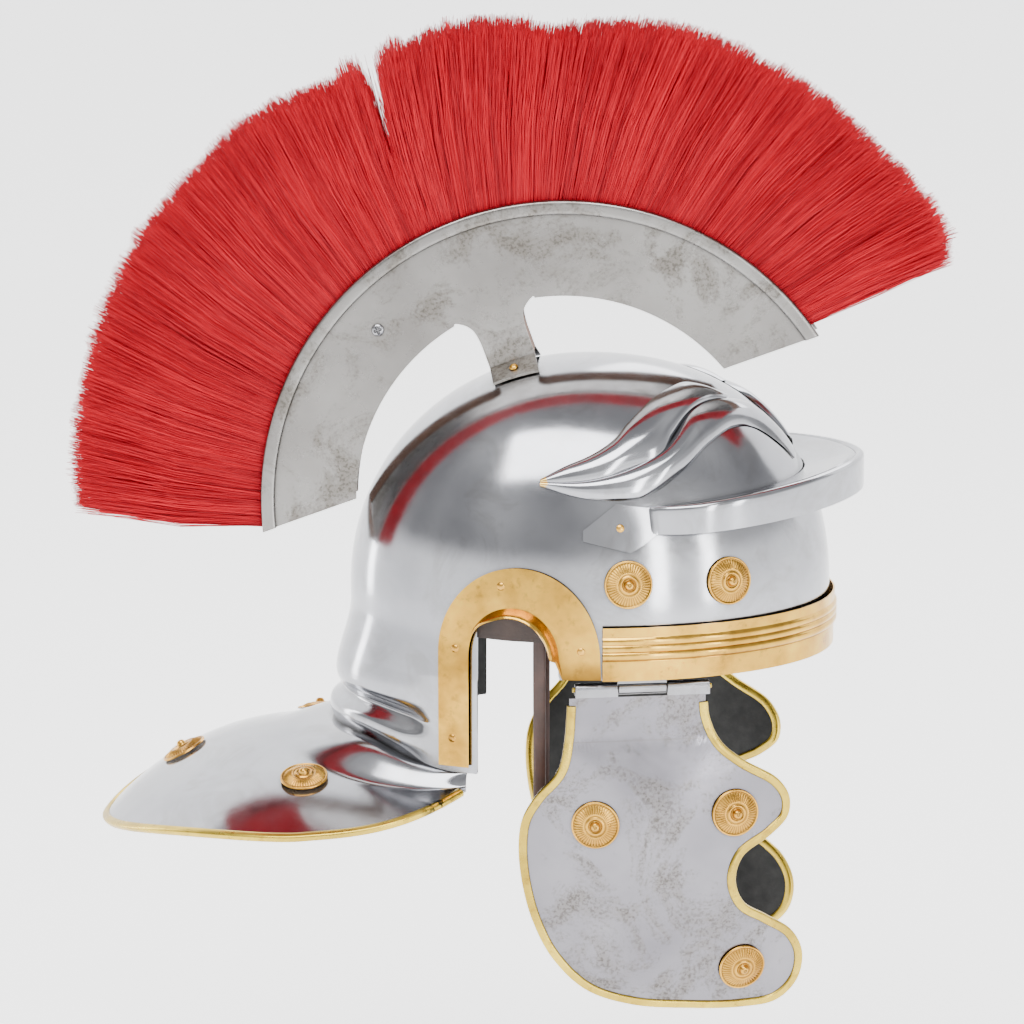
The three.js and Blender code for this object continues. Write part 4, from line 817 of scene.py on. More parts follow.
def bowl():
    angles = angles_round(BOWL_COLUMNS)
    dome = WAIST + CROWN_RISE * np.sin(np.radians(np.linspace(DOME_TOP_ANGLE, 0, DOME_ROWS)))
    drops = np.concatenate([np.linspace(0, RIM_SHARE, RIM_ROWS), np.linspace(RIM_SHARE, 1, NAPE_ROWS)])
    drops = np.unique(drops)[1:]
    grid = bowl_grid(angles, dome, drops, np.linspace(0, 1, GUARD_ROWS)[1:])
    rows = grid.shape[1]
    rim_row = len(dome) + np.searchsorted(drops, RIM_SHARE + 1e-9) - 1
    guard_row = len(dome) + len(drops) - 1
    outline = ear_opening()
    points = grid.reshape(-1, 3)
    corners = np.array(grid_faces(BOWL_COLUMNS, rows, True))
    centres = points[corners].mean(1)
    row = (corners % rows).min(1)
    turn = np.abs(angles[corners // rows]).min(1)
    gone = (row >= rim_row) & (turn < RIM_ANGLE)
    gone |= (row >= guard_row) & (turn < EAR_ANGLE)
    gone |= inside_outline(centres[:, 0], centres[:, 2], outline)
    keep = corners[~gone].tolist()
    crown = len(points)
    points = np.concatenate([points, [[0.0, 0.0, CROWN]]])
    keep += [[crown, ((i + 1) % BOWL_COLUMNS) * rows, i * rows] for i in range(BOWL_COLUMNS)]
    for k in open_edge(keep):
        x, y, z = points[k]
        beside_ear = EAR_SNAP_X[0] < x < EAR_SNAP_X[1] and (z > EAR_SNAP_LOW or x < EAR_SNAP_REAR)
        if beside_ear and k % rows < guard_row and k != crown:
            near = nearest_on(outline, x, z)
            if math.hypot(near[0] - x, near[1] - z) < EAR_SNAP_REACH:
                side = -1.0 if y < 0 else 1.0
                points[k] = (near[0], side * bowl_half(near[0], near[1]), near[1])
    used = sorted({k for face in keep for k in face})
    index = {k: i for i, k in enumerate(used)}
    build = Build().add(points[used], [[index[k] for k in face] for face in keep])
    piece("bowl_shell", build, "helmet", [STEEL, DARK_PAINT],
          replaces=["bowl"], wall=WALL, sharp=50, flip=True)


def bead_rings(points, outs, normals, steps=20, power=3.2):
    """Rings of a rounded bead that straddles a sheet's edge, from well inside to PIPING_LAP outside."""
    turn = ring_angles(steps)
    across = rounded(np.cos(turn), 2 / power) * PIPING_WIDTH / 2 + PIPING_LAP - PIPING_WIDTH / 2
    up = rounded(np.sin(turn), 2 / power) * PIPING_HEIGHT / 2
    return points[:, None, :] + outs[:, None, :] * across[:, None] + normals[:, None, :] * up[:, None]


def guard_piping():
    front = np.linspace(EAR_ANGLE + 1.0, GUARD_SWEEP, 40)[:-1]
    half = np.concatenate([front, np.linspace(GUARD_SWEEP, 180, 90)])
    angles = np.concatenate([-half, half[::-1][1:]])
    edge = guard_surface(angles, np.ones_like(angles))
    back = guard_surface(angles, np.full_like(angles, 0.96))
    run = unit(np.gradient(edge, axis=0))
    normal = np.cross(run, edge - back)
    normal = unit(normal * np.sign(normal[:, 2:]))
    out = unit(np.cross(run, normal))
    out *= np.sign(np.sum(out * (edge - back), axis=1, keepdims=True))
    build = Build().tube(bead_rings(edge - normal * WALL / 2, out, normal))
    piece("neck_guard_bead", build, "helmet", [PIPING_BRASS],
          replaces=["neck_guard_piping"], sharp=60)


# Ear guards

ARCH_STEPS = 40


def at_steps(points, at):
    """Places along a row of points, where 1.5 is midway from the second to the third."""
    base = np.arange(len(points))
    return np.stack([np.interp(at, base, points[:, 0]), np.interp(at, base, points[:, 1])], 1)


def ear_guard_grid():
    feet = (EAR_GUARD_REAR_FOOT, EAR_GUARD_FRONT_FOOT)
    inner = ear_arch(EAR_MIDDLE, EAR_HALF, EAR_RISE, *feet, 2.0, ARCH_STEPS)
    outer = ear_arch(EAR_GUARD_MIDDLE, EAR_GUARD_HALF, EAR_GUARD_RISE, *feet, 0.5, ARCH_STEPS)
    share = np.concatenate([np.linspace(0, 1, 36)[:-1], 1 + np.arange(ARCH_STEPS + 2)])
    inside = at_steps(inner, share)
    outside = at_steps(outer, share)
    turn_share = np.clip(share / (len(inner) - 1), 0, 1)
    lip = smooth((turn_share - 0.12) / 0.3) * smooth((1.0 - turn_share) / 0.06)
    rows = []
    for across in np.linspace(0, 1, 15):
        spot = outside * (1 - across) + inside * across
        rows.append(on_right(spot[:, 0], spot[:, 1], GAP + BRASS))
    base = rows[-1]
    normal = normal_on_right(inside[:, 0], inside[:, 1])
    level = np.zeros(len(share))
    inward = unit(np.stack([EAR_MIDDLE - inside[:, 0], level, EAR_SPRING - inside[:, 1]], 1))
    for bend in np.linspace(0, 1, 11)[1:]:
        out = lip * EAR_LIP * np.sin(bend * np.pi / 2) ** 1.6
        drop = (0.2 + lip * EAR_LIP_DROP) * bend
        rows.append(base + normal * out[:, None] + inward * drop[:, None])
    return np.array(rows).transpose(1, 0, 2)


def places_of(obj):
    return np.array([v.co for v in obj.data.vertices]) / MM


def ear_guards():
    grid = ear_guard_grid()
    for side in SIDES:
        obj = piece(f"ear_trim_{side}", Build().grid(*on_side(side, grid)), "helmet",
                    [BRASS_SHEET, BRASS_SHEET], replaces=[f"ear_guard_{side}"], wall=BRASS, sharp=40,
                    flip=side == "left")
        points = places_of(obj)
        foot = step(-points[:, 2], -7.0, 3.0) * step(points[:, 0], -24.0, -15.0)
        point_values(obj, "grime_and_shade", foot * 0.95)


# Brow band

def brow_band():
    start = math.degrees(math.acos(BAND_START / BOWL_FRONT))
    heights = np.linspace(0, BAND_HEIGHT, 60)
    off = np.full_like(heights, GAP + BRASS)
    for share in BAND_RIBS:
        near = (heights - share * BAND_HEIGHT) / (BAND_RIB_HALF * BAND_HEIGHT)
        off += RIB_PROUD * np.maximum(0, 1 - near ** 2) ** 0.7
    ledge = (BAND_RIBS[-1] - BAND_RIB_HALF) * BAND_HEIGHT
    off += BAND_LEDGE * step(heights, ledge - 0.6, ledge)
    grid = [[bowl_point(angle, height, away) for height, away in zip(heights, off)]
            for angle in np.linspace(start, -start, 170)]
    obj = piece("brow_trim", Build().grid(np.array(grid)), "helmet",
                [BRASS_SHEET, BRASS_SHEET], replaces=["brow_band"], wall=BRASS * 0.8, sharp=50, flip=False)
    height = places_of(obj)[:, 2]
    # painted shade: a darker line at the ledge below the ribs
    ledge_shade = step(height, 9.0, 10.4) * (1 - step(height, 10.4, 11.4))
    point_values(obj, "grime_and_shade", ledge_shade * 0.35)


# Peak

def peak_path():
    back = np.linspace(1, 0, 24)[:-1]
    x0 = PEAK_MIDDLE - (PEAK_MIDDLE - PEAK_START) * back
    y0 = PEAK_HALF_WIDTH - PEAK_START_IN * back ** 2
    turn = np.linspace(0, np.pi / 2, 90)
    x1 = PEAK_MIDDLE + PEAK_REACH * np.sin(turn) ** (2 / PEAK_POWER)
    y1 = PEAK_HALF_WIDTH * np.maximum(0, np.cos(turn)) ** (2 / PEAK_POWER)
    x = np.concatenate([x0, x1])
    y = np.concatenate([y0, y1])
    return np.concatenate([np.stack([x, -y], 1), np.stack([x, y], 1)[:-1][::-1]])


def clear_of_bowl(points, off):
    points = points.copy()
    near = points[:, 0] <= PEAK_MIDDLE
    least = bowl_half(points[:, 0], points[:, 2], off)
    side = np.where(points[:, 1] < 0, -1.0, 1.0)
    push = near & (np.abs(points[:, 1]) < least)
    points[push, 1] = (side * least)[push]
    return points


def peak_grid():
    """The shelf from its seat on the bowl out to the edge, round the bend and down the flange."""
    x, y = peak_path().T
    level = PEAK_LEVEL + PEAK_EDGE_SLOPE * x
    flange = PEAK_FLANGE + PEAK_FLANGE_GROWTH * x
    guess = np.degrees(np.arctan2(y / BOWL_SIDE, x / BOWL_FRONT))
    seat_x = bowl_point(guess, level, GAP)[:, 0]
    seat = bowl_point(guess, PEAK_LEVEL + PEAK_SEAT_SLOPE * seat_x, GAP)
    edge = clear_of_bowl(np.stack([x, y, level], 1), GAP + WALL)
    foot = clear_of_bowl(np.stack([x, y, level - flange], 1), GAP + WALL)
    top_run = unit(seat - edge)
    width = np.linalg.norm(edge - seat, axis=1, keepdims=True)
    radius = np.minimum(PEAK_BEND, width * 0.5)
    rows = [seat + (edge - seat) * t for t in np.linspace(0, 1, 14)[:-1]]
    rows[-1] = edge + top_run * np.maximum(radius, width / 13 * 0.6)
    a = edge + top_run * radius
    b = edge + unit(foot - edge) * radius
    rows += [(1 - t) ** 2 * a + 2 * t * (1 - t) * edge + t ** 2 * b for t in np.linspace(0, 1, 8)]
    rows += [edge + (foot - edge) * t for t in np.linspace(0.25, 1, 7)]
    return np.array(rows).transpose(1, 0, 2)


def arrow_grid():
    """The right arrow-shaped plate: flat at its point and laid on the bowl at its root."""
    along = np.linspace(0, 1, ARROW_COLUMNS)
    low = np.interp(along, ARROW_ALONG, ARROW_LOW)[:, None]
    high = np.interp(along, ARROW_ALONG, ARROW_HIGH)[:, None]
    z = ARROW_TIP[1] + (low + (high - low) * np.linspace(0, 1, ARROW_ROWS)) * ARROW_HEIGHT
    x = ARROW_TIP[0] + along * ARROW_LENGTH
    arrow = np.array([on_right(np.full(ARROW_ROWS, x_row), z_row, GAP + WALL) for x_row, z_row in zip(x, z)])
    centre = (ARROW_TIP[0] + ARROW_LENGTH * 0.5, ARROW_TIP[1] + ARROW_HEIGHT * 0.1)
    out = normal_on_right(*centre)
    drop = (arrow - on_right(*centre, GAP + WALL + ARROW_STAND)) @ out
    hold = smooth(1.25 - along * 1.25)[:, None]
    return arrow - drop[..., None] * out * (0.85 * hold)[..., None]


def peak():
    build = Build().grid(peak_grid())
    arrow = arrow_grid()
    build.add(arrow, [face[::-1] for face in grid_faces(*arrow.shape[:2])])
    build.grid(mirror(arrow))
    piece("peak_shelf", build, "helmet", [STEEL, STEEL],
          replaces=["brow_peak"], wall=WALL, sharp=45, flip=False)


# Embossed eyebrows

def brow_curve(rows, count):
    return spline(np.array(rows, float) * np.array([1, CROWN]), count)


def lobe_grid(upper_rows, lower_rows, lap, peak_at):
    upper = brow_curve(upper_rows, LOBE_COLUMNS)
    lower = brow_curve(lower_rows, LOBE_COLUMNS)
    grid = np.zeros((LOBE_COLUMNS, LOBE_ROWS, 3))
    rise = BROW_PROUD * np.sin(np.pi * (0.03 + 0.94 * np.linspace(0, 1, LOBE_COLUMNS))) ** 0.55
    for j, share in enumerate(np.linspace(0, 1, LOBE_ROWS)):
        t = share * (1 + lap)
        spot = upper * (1 - t) + lower * t
        warped = share ** (math.log(0.5) / math.log(peak_at))
        height = rise * np.sin(np.pi * warped) ** 0.75
        grid[:, j] = bowl_point(-spot[:, 0], spot[:, 1], 0.15 + height)
    return grid


def eyebrows():
    upper = lobe_grid(BROW_UPPER, BROW_MIDDLE, 0.12, 0.34)
    lower = lobe_grid(BROW_INNER, BROW_LOWER, 0.0, 0.3)
    for side in SIDES:
        build = Build()
        for grid in on_side(side, upper, lower):
            build.grid(grid)
        piece(f"brow_relief_{side}", build, "helmet", [BROW_STEEL, BROW_STEEL],
              replaces=[f"eyebrow_{side}"], wall=0.5, sharp=60, flip=side == "left")


# Rosettes, rivets and screws

# Radius and height of a rosette from its edge inwards, as shares of its full ones.
ROSETTE_PROFILE = (
    (1.0, 0.0), (1.0, 0.13), (0.985, 0.18), (0.955, 0.19), (0.93, 0.18), (0.91, 0.12), (0.88, 0.13),
    (0.84, 0.2), (0.78, 0.29), (0.7, 0.38), (0.62, 0.46), (0.55, 0.51), (0.5, 0.52), (0.46, 0.48),
    (0.43, 0.45), (0.4, 0.5), (0.36, 0.58), (0.33, 0.6), (0.3, 0.58), (0.27, 0.52), (0.24, 0.5),
    (0.21, 0.56), (0.19, 0.72), (0.17, 0.84), (0.14, 0.94), (0.1, 0.98), (0.05, 1.0))
# Place, width and darkness of the grooves, darkened with painted shade and dirt.
ROSETTE_GROOVES = ((0.905, 0.025, 0.75), (0.43, 0.035, 0.7), (0.25, 0.04, 0.6))
DOME_TURNS = 36
DOME_SHARES = 10
CROSS_HALF = 0.16
CROSS_REACH = 0.62


def laid_on(point, normal):
    turn = Vector((0, 0, 1)).rotation_difference(Vector(normal))
    return Matrix.Translation(Vector(point) * MM) @ turn.to_matrix().to_4x4()


def rosette_build():
    turns = ROSETTE_RIBS * 4
    rows = len(ROSETTE_PROFILE)
    turn = np.arange(turns) * 2 * np.pi / turns
    ribs = 0.5 + 0.5 * np.cos(turn * ROSETTE_RIBS)
    grid = np.zeros((turns, rows, 3))
    grime_and_shade = np.zeros((turns, rows))
    for j, (share, height) in enumerate(ROSETTE_PROFILE):
        ribbed = float(step(share, 0.5, 0.56) * (1 - step(share, 0.87, 0.9))) * ribs
        radius = share * ROSETTE_RADIUS
        lift = height * ROSETTE_HEIGHT - 0.5 * ribbed
        grid[:, j] = np.stack([radius * np.cos(turn), radius * np.sin(turn), lift], 1)
        groove = sum(dark * math.exp(-((share - at) / wide) ** 2) for at, wide, dark in ROSETTE_GROOVES)
        # painted shade and dirt in the grooves, and painted shade in the hollows between the ribs
        grime_and_shade[:, j] = np.minimum(0.8, groove + 0.55 * ribbed)
    build = Build().grid(grid, around=True).add([[0, 0, ROSETTE_HEIGHT]])
    top = build.count - 1
    ends = [i * rows + rows - 1 for i in range(turns)]
    build.faces += [[after, end, top] for end, after in zip(ends, ends[1:] + ends[:1])]
    build.faces.append([i * rows for i in range(turns)])
    return build, np.append(grime_and_shade, 0.0)


ROSETTE, ROSETTE_GRIME_AND_SHADE = rosette_build()


def rosette(name, place, body="helmet"):
    obj = piece(f"{name}_button", ROSETTE, body, [ROSETTE_BRASS], replaces=[name],
                sharp=None, place=place)
    point_values(obj, "grime_and_shade", ROSETTE_GRIME_AND_SHADE)


def dome_build(radius, height, cross=False):
    turn = np.arange(DOME_TURNS) * 2 * np.pi / DOME_TURNS
    grid = np.zeros((DOME_TURNS, DOME_SHARES, 3))
    for j, t in enumerate(np.linspace(0, 1, DOME_SHARES)):
        r = radius * math.cos(t * math.pi / 2 * 0.93) if j else radius
        h = height * (0.15 + 0.85 * math.sin(t * math.pi / 2 * 0.93)) if j else 0.0
        grid[:, j] = np.stack([r * np.cos(turn), r * np.sin(turn), np.full(DOME_TURNS, h)], 1)
    if cross:
        x, y = np.abs(grid[..., 0]) / radius, np.abs(grid[..., 1]) / radius
        arm = (np.minimum(x, y) < CROSS_HALF) & (np.maximum(x, y) < CROSS_REACH)
        grid[..., 2] = np.where(arm, height * 0.35, grid[..., 2])
    build = Build().grid(grid, around=True)
    rim = [i * DOME_SHARES for i in range(DOME_TURNS)]
    build.faces += [[k + DOME_SHARES - 1 for k in rim][::-1], rim]
    return build


RIVET = dome_build(RIVET_RADIUS, RIVET_HEIGHT)


def rivets(name, point, normal):
    radius = np.linalg.norm(np.concatenate(RIVET.points)[:, :2], axis=1)
    for side in SIDES:
        obj = piece(f"{name}_{side}_head", RIVET, "helmet", [ROSETTE_BRASS],
                    replaces=[f"{name}_{side}"], sharp=50, place=laid_on(*on_side(side, point, normal)))
        # painted shade: a darker ring at the head's edge, where it meets the plate
        point_values(obj, "grime_and_shade", 0.6 * step(radius, RIVET_RADIUS * 0.93, RIVET_RADIUS))


def buttons():
    for name, (x, z) in BROW_ROSETTES.items():
        normal = normal_on_right(x, z)
        for side in SIDES:
            place = laid_on(*on_side(side, on_right(x, z) + normal * GAP, normal))
            rosette(f"{name}_{side}", place)
    for name, (x, y, lift) in GUARD_ROSETTES.items():
        along = np.array([-2, 0, guard_height(x - 1, y) - guard_height(x + 1, y)])
        across = np.array([0, 2, guard_height(x, y + 1) - guard_height(x, y - 1)])
        normal = unit(np.cross(across, along))
        point = np.array([x, y, guard_height(x, y)]) + normal * (GAP + lift)
        rosette(name, laid_on(point, normal))
    for k, (x, z) in enumerate(EAR_RIVETS):
        normal = normal_on_right(x, z)
        rivets(f"ear_rivet_{k + 1}", on_right(x, z, GAP) + normal * (BRASS + 0.1), normal)
    normal = normal_on_right(*PEAK_RIVET)
    rivets("peak_rivet", on_right(*PEAK_RIVET, GAP) + normal * (WALL + ARROW_STAND + 0.05), normal)


# Cheek guards

CHEEK_SIZE = np.array([CHEEK_SPAN, CHEEK_DROP])
CHEEK_POINTS = 230
CHEEK_TOP_POINTS = 42
CHEEK_ROWS = 30
BEAD_POINTS = 260
TUBE_SOFT = 0.3
PIN_PLAY = 0.25


def cheek_out(along, down):
    below = np.maximum(0, (down / CHEEK_DROP - CHEEK_CREASE) / (1 - CHEEK_CREASE))
    aside = (along / CHEEK_SPAN - CHEEK_CORE[0]) * 2
    dish = CHEEK_DISH * np.sin(np.pi * np.minimum(1, below)) ** 0.8
    notch = (along / CHEEK_SPAN - CHEEK_NOTCH[0]) ** 2 + (down / CHEEK_DROP - CHEEK_NOTCH[1]) ** 2
    flare = CHEEK_NOTCH_FLARE * np.exp(-notch / CHEEK_NOTCH_REACH ** 2)
    return (KNUCKLE_RADIUS - WALL / 2 + flare + dish * (1 - aside * aside * 0.8)
            - CHEEK_TURN_IN * below ** 1.5 - CHEEK_WRAP * aside * aside * smooth(below * 3))


def cheek_point(along, down, lift=0.0):
    along, down = np.broadcast_arrays(np.asarray(along, float), np.asarray(down, float))
    return np.stack([along, -cheek_out(along, down) - lift, -down], -1)


def cheek_normal(along, down):
    forward = cheek_point(along + 1, down) - cheek_point(along - 1, down)
    lower = cheek_point(along, down + 1) - cheek_point(along, down - 1)
    return unit(np.cross(lower, forward))


def cheek_outline(count):
    spots = spline(np.array(CHEEK_OUTLINE) * CHEEK_SIZE, count)
    run = unit(np.gradient(spots, axis=0))
    out = np.stack([-run[:, 1], run[:, 0]], 1)
    return spots - out * PIPING_LAP, out


def tube_build(build, radius, hole, low, high, sides=40):
    """A tube along X with softened ends."""
    profile = [(hole, low), (radius - TUBE_SOFT, low), (radius, low + TUBE_SOFT),
               (radius, high - TUBE_SOFT), (radius - TUBE_SOFT, high), (hole, high)]
    rings = [[[x, r * math.cos(t), r * math.sin(t)] for r, x in profile] for t in ring_angles(sides)]
    return build.tube(rings, closed=True)


def box_build(build, low, high):
    (x0, y0, z0), (x1, y1, z1) = low, high
    points = [(x, y, z) for x in (x0, x1) for y in (y0, y1) for z in (z0, z1)]
    faces = [[0, 1, 3, 2], [4, 6, 7, 5], [0, 4, 5, 1], [2, 3, 7, 6], [0, 2, 6, 4], [1, 5, 7, 3]]
    return build.add(points, faces)


def cheek_sheet():
    outline, _ = cheek_outline(CHEEK_POINTS)
    top = KNUCKLE_RADIUS + KNUCKLE_PLAY
    first, last = outline[0][0], outline[-1][0]
    shares = np.linspace(0, 1, CHEEK_TOP_POINTS)[1:-1]
    line = [(first, top), *outline, (last, top), *((last + (first - last) * t, top) for t in shares)]
    core = np.array(CHEEK_CORE) * CHEEK_SIZE
    shares = np.linspace(0, 1, CHEEK_ROWS)[::-1][:-1]
    grid = [[cheek_point(*(core + (spot - core) * share), WALL / 2) for share in shares]
            for spot in np.array(line)]
    build = Build().grid(np.array(grid), around=True).add([cheek_point(*core, WALL / 2)])
    ends = [(i + 1) * len(shares) - 1 for i in range(len(line))]
    build.faces += [[end, after, build.count - 1] for end, after in zip(ends, ends[1:] + ends[:1])]
    return build


def rim_in_hinge(along):
    cos, sin = math.cos(math.radians(HINGE_YAW)), math.sin(math.radians(HINGE_YAW))
    x = HINGE_POINT[0] + along * cos
    return (HINGE_POINT[1] - along * sin - float(bowl_half(x, 0.0, -WALL - GAP))) / cos


def cheek_bead():
    outline, out = cheek_outline(BEAD_POINTS)
    points = cheek_point(*outline.T)
    normals = cheek_normal(*outline.T)
    outs = cheek_point(*(outline + out).T) - points
    outs = unit(outs - normals * np.sum(outs * normals, axis=1, keepdims=True))
    return Build().tube(bead_rings(points, outs, normals))


def hinge_builds():
    """The guard's knuckles, the bowl's leaf and the pin, on the pin's own line."""
    clear = KNUCKLE_MIDDLE_HALF + KNUCKLE_PLAY
    hole = PIN_RADIUS + PIN_PLAY
    knuckles = Build()
    for low, high in ((-KNUCKLE_HALF, -clear), (clear, KNUCKLE_HALF)):
        tube_build(knuckles, KNUCKLE_RADIUS, hole, low, high)
        box_build(knuckles, (low, -KNUCKLE_RADIUS, -KNUCKLE_RADIUS - KNUCKLE_PLAY - 0.05),
                  (high, -KNUCKLE_RADIUS + WALL, 0.0))
    half = KNUCKLE_MIDDLE_HALF
    leaf = tube_build(Build(), KNUCKLE_RADIUS, hole, -half, half)
    outside = max(rim_in_hinge(-half), rim_in_hinge(half))
    box_build(leaf, (-half, outside, (KNUCKLE_RADIUS + hole) * 0.45), (half, outside + WALL, LEAF_RISE))
    reach = KNUCKLE_HALF + PIN_OVERHANG
    return knuckles, leaf, tube_build(Build(), PIN_RADIUS, 0.05, -reach, reach, 24)


def cheeks():
    sheet, bead = cheek_sheet(), cheek_bead()
    knuckles, leaf, pin = hinge_builds()
    for side in SIDES:
        sign = -1.0 if side == "right" else 1.0
        body = f"cheek_{side}"
        pivot = Vector((HINGE_POINT[0], sign * HINGE_POINT[1], HINGE_POINT[2])) * MM
        place = Matrix.Translation(pivot) @ Matrix.Rotation(math.radians(-sign * HINGE_YAW), 4, "Z")
        piece(f"cheek_plate_{side}", sheet.for_side(side), body, [CHEEK_STEEL, DARK_PAINT],
              replaces=[f"cheek_guard_{side}"], wall=WALL, sharp=50, flip=False, place=place)
        piece(f"cheek_knuckles_{side}", knuckles.for_side(side), body, [HINGE_STEEL],
              place=place)
        piece(f"cheek_bead_{side}", bead.for_side(side), body, [PIPING_BRASS],
              replaces=[f"cheek_piping_{side}"], sharp=60, place=place)
        piece(f"hinge_flap_{side}", leaf.for_side(side), "helmet", [HINGE_STEEL],
              replaces=[f"hinge_leaf_{side}"], place=place)
        piece(f"hinge_rod_{side}", pin.for_side(side), "helmet", [PIPING_BRASS],
              replaces=[f"hinge_pin_{side}"], place=place)
        for where, share in CHEEK_ROSETTES.items():
            spot = np.array(share) * CHEEK_SIZE
            normal = cheek_normal(*spot)
            point = cheek_point(*spot) + normal * (WALL / 2 + GAP + 0.2)
            rosette(f"cheek_rosette_{where}_{side}", place @ laid_on(*on_side(side, point, normal)), body)


# Crest

PLATE_FACE = -CREST_HALF_THICKNESS
FOOT_START = PLATE_FACE + WALL * 0.6
FOOT_END = PLATE_FACE - FOOT_REACH

CREST_PLACE = (Matrix.Translation(Vector((CREST_CENTRE[0], 0, CREST_CENTRE[1])) * MM)
               @ Matrix.Rotation(math.radians(-CREST_TILT), 4, "Y"))


def arc_spot(radius, share, end_height=CREST_END_HEIGHT):
    end = math.asin(end_height / radius)
    turn = end + (math.pi - 2 * end) * share
    return radius * math.cos(turn), radius * math.sin(turn)


def arc_rings(section, stations, end_height=CREST_END_HEIGHT):
    """A section of (radius, y) pairs carried along the crest's arc."""
    rings = []
    for k in range(stations + 1):
        spots = [arc_spot(radius, k / stations, end_height) for radius, _ in section]
        rings.append([(x, y, z) for (x, z), (_, y) in zip(spots, section)])
    return rings


def leg_side(sign, order):
    rise = CREST_INNER - LEG_FOLD
    flare = LEG_FLARE * 0.2
    spots = []
    for t in order:
        x = LEG_WIDTH / 2 + flare * smooth(t) + (LEG_FILLET - flare) * t ** 5
        spots.append((sign * x, LEG_FOLD + rise * (0.35 + 0.62 * t)))
    return spots


def plate_outline():
    """Outline of a crest plate with its leg, in the crest's own X and Z."""
    shares = [k / PLATE_STATIONS for k in range(PLATE_STATIONS + 1)]
    outer = [arc_spot(CREST_OUTER, share) for share in shares]
    inner = [arc_spot(CREST_INNER, 1 - share) for share in shares]
    half = LEG_WIDTH / 2
    left = [spot for spot in inner if spot[0] < -half - LEG_FILLET]
    right = [spot for spot in inner if spot[0] > half + LEG_FILLET]
    order = np.linspace(1, 0, 16)
    leg = leg_side(-1, order) + [(-half, LEG_FOLD), (half, LEG_FOLD)] + leg_side(1, order[::-1])
    return outer + left + leg + right


def bowl_in_crest(x, y):
    low, high = 0.0, LEG_FOLD * 2
    tilt = math.radians(CREST_TILT)
    for _ in range(24):
        z = (low + high) / 2
        wx = CREST_CENTRE[0] + x * math.cos(tilt) - z * math.sin(tilt)
        wz = CREST_CENTRE[1] + x * math.sin(tilt) + z * math.cos(tilt)
        if wz < CROWN and abs(y) < float(bowl_half(wx, wz, GAP)):
            low = z
        else:
            high = z
    return high


def crest_plate_build():
    outline = plate_outline()
    count = len(outline)
    walls = [[k, (k + 1) % count, count + (k + 1) % count, count + k][::-1] for k in range(count)]
    points = [(x, y, z) for y in (PLATE_FACE, PLATE_FACE + WALL) for x, z in outline]
    build = Build().add(points, [list(range(count)), list(range(count, 2 * count))[::-1]] + walls)
    middle = CREST_OUTER - RIM_WIDTH / 2
    turn = np.linspace(0, np.pi, 14)
    radii = middle - RIM_WIDTH / 2 * rounded(np.cos(turn), 0.55)
    rim = zip(radii, PLATE_FACE - RIM_PROUD * np.sin(turn) ** 0.5)
    section = [(CREST_OUTER - RIM_WIDTH, PLATE_FACE + 0.2), *rim, (CREST_OUTER, PLATE_FACE + WALL)]
    build.tube(arc_rings(section, RIM_STATIONS))
    columns = []
    for x in np.linspace(-LEG_WIDTH / 2, LEG_WIDTH / 2, 9):
        fall = bowl_in_crest(x, FOOT_END) + 0.3 - LEG_FOLD
        columns.append([(x, FOOT_START + (FOOT_END - FOOT_START) * t, LEG_FOLD + WALL + fall * t)
                        for t in np.linspace(0, 1, 12)])
    top = np.array(columns)
    under = top - np.array([0, 0, WALL])
    return build.tube(np.concatenate([top, under[:, ::-1]], axis=1))


def crest():
    plate = crest_plate_build()
    for side in SIDES:
        piece(f"crest_side_{side}", plate.for_side(side), "helmet", [DULL_STEEL],
              replaces=[f"crest_plate_{side}"], sharp=30, place=CREST_PLACE)
    half = CREST_HALF_THICKNESS - WALL - 0.35
    low, high = CREST_INNER + 0.6, CREST_OUTER - CORE_PROUD
    section = [(low, -half), (low, half), (high, half), (high, -half)]
    core = Build().tube(arc_rings(section, CORE_STATIONS, CREST_END_HEIGHT + 0.8))
    box_build(core, (-LEG_WIDTH / 2, -half, LEG_FOLD + 1), (LEG_WIDTH / 2, half, CREST_INNER + 3))
    piece("crest_block", core, "helmet", [WOOD], replaces=["crest_core"], sharp=30,
          place=CREST_PLACE)
    turn = math.radians(90 + PLATE_SCREW[1])
    spot = np.array([PLATE_SCREW[0] * math.cos(turn), PLATE_FACE - 0.1, PLATE_SCREW[0] * math.sin(turn)])
    head = dome_build(SCREW_RADIUS, RIVET_HEIGHT, cross=True)
    fall = bowl_in_crest(0, FOOT_END) + 0.3 - LEG_FOLD
    normal = unit(np.array([0, fall, FOOT_START - FOOT_END]))
    foot = np.array([0, (FOOT_START + FOOT_END) / 2, LEG_FOLD + fall / 2]) + normal * (WALL + 0.1)
    for side in SIDES:
        piece(f"crest_screw_{side}_head", head, "helmet", [HINGE_STEEL],
              replaces=[f"crest_screw_{side}"], sharp=30,
              place=CREST_PLACE @ laid_on(*on_side(side, spot, np.array([0, -1, 0]))))
        piece(f"foot_screw_{side}_head", RIVET, "helmet", [ROSETTE_BRASS],
              replaces=[f"foot_screw_{side}"], sharp=50,
              place=CREST_PLACE @ laid_on(*on_side(side, foot, normal)))


# Plume: strands in locks round a red fan, whose darker red is painted shade deep in the plume

def hair_length(at):
    return through(HAIR_LOCKS, at) * HAIR_LENGTH + HAIR_SUNK


def strand_points(at, side, up, length):
    """Place on a strand: `at` along the crest, `side` from -1 to 1, `up` from 0 to 1."""
    base = CREST_OUTER - HAIR_SUNK
    share = up * length / HAIR_LENGTH
    turn = HAIR_ENDS[0] + (HAIR_ENDS[1] - HAIR_ENDS[0]) * at - HAIR_LEAN * np.minimum(1.0, share)
    radius = base + length * up
    spread = side * (HAIR_BASE_HALF + (HAIR_TIP_HALF - HAIR_BASE_HALF) * share ** 0.85)
    turn = np.radians(turn)
    return np.stack([radius * np.cos(turn), spread, radius * np.sin(turn)], -1)


